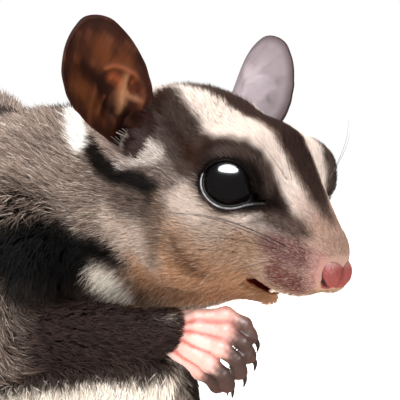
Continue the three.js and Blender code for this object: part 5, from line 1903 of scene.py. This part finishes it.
def camera():
    right, up, back, spot = camera_axes()
    lens = bpy.data.cameras.new("camera")
    lens.lens = CAMERA_LENS
    lens.sensor_width = SENSOR_WIDTH
    lens.clip_start = 0.01
    holder = bpy.data.objects.new("camera", lens)
    spot = place(spot)
    holder.matrix_world = Matrix([
        [right[0], up[0], back[0], spot[0]],
        [right[1], up[1], back[1], spot[1]],
        [right[2], up[2], back[2], spot[2]],
        [0, 0, 0, 1],
    ])
    bpy.context.scene.collection.objects.link(holder)
    bpy.context.scene.camera = holder


# Each light's way from the animal, as shares of back, right and up, its distance, size, power and colour
LIGHTS = {
    "key": ((0.25, -0.45, 0.86), 0.55, (0.5, 0.5), 4.2, (1, 0.98, 0.95)),
    "fill": ((0.85, 0.5, 0.1), 0.7, (0.6, 0.6), 2.0, (1, 0.97, 0.95)),
    "rim": ((-0.5, 0.3, 0.8), 0.6, (0.5, 0.4), 3.0, (1, 1, 1)),
}
LIGHTS_AIM = (0, 20, 35)
CATCH_MIRROR = (0.93, -0.02, 0.33)  # the way the eye's surface looks where the catch light shows
CATCH_DISTANCE = 0.4


def lights():
    right, up, back, _ = camera_axes()
    axes = np.stack([back, right, up])
    aim = place(LIGHTS_AIM)
    for name, (way, distance, size, power, colour) in LIGHTS.items():
        soft_light(name, aim + distance * (np.array(way) @ axes), aim, size, power, colour)
    centre = place(EYES["right"]["centre"])
    mirror = unit(np.array(CATCH_MIRROR) @ axes)
    spot = centre + CATCH_DISTANCE * unit(2 * (mirror @ back) * mirror - back)
    catch = soft_light("catch", spot, centre, (0.5, 0.2), 6.0, (0.92, 0.96, 1), "ELLIPSE")
    catch.visible_diffuse = False
    catch.visible_glossy = True


# Grid of the skin, as (start, end, step): finest about the face
SKIN_GRID = [
    [(-40, -22, 1.6), (-22, -13, 0.9), (-13, 13, 0.36), (13, 22, 0.9), (22, 124, 1.6)],
    [(-2, 22, 0.36), (22, 45, 0.7), (45, 244, 1.6)],
    [(-1, 14, 1.2), (14, 24, 0.7), (24, 54, 0.38), (54, 70, 0.9)],
]


def skin_piece(materials):
    points, faces = surface(skin_distance, *(uneven(*stretches) for stretches in SKIN_GRID))
    normals = vertex_normals(points, faces)
    colours, uv = skin_colours(points, normals), face_uvs(points, faces)
    piece = new_mesh("skin", points, faces, materials["skin"], "coat", colours, uv)
    flesh = [n for n in frame["nodes"] if not n.startswith(("eye", "ear", "nose", "hand", "foot"))]
    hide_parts(*flesh)
    print("skin", len(faces), "quads")
    return points, faces, normals


def build():
    materials = make_materials()
    points, faces, normals = skin_piece(materials)
    make_coat(points, faces, normals, materials)
    nose_piece(materials)
    for name in SIDES:
        eye_piece(name, materials)
        lid_piece(name, materials)
        ear_piece(name, materials)
    for name in PAWS:
        paw_piece(name, materials)
    claws(materials)
    whiskers(materials)
    teeth(materials)
    stage(materials)
    world()
    lights()
    camera()
    bpy.context.scene.view_settings.view_transform = "Standard"


build()
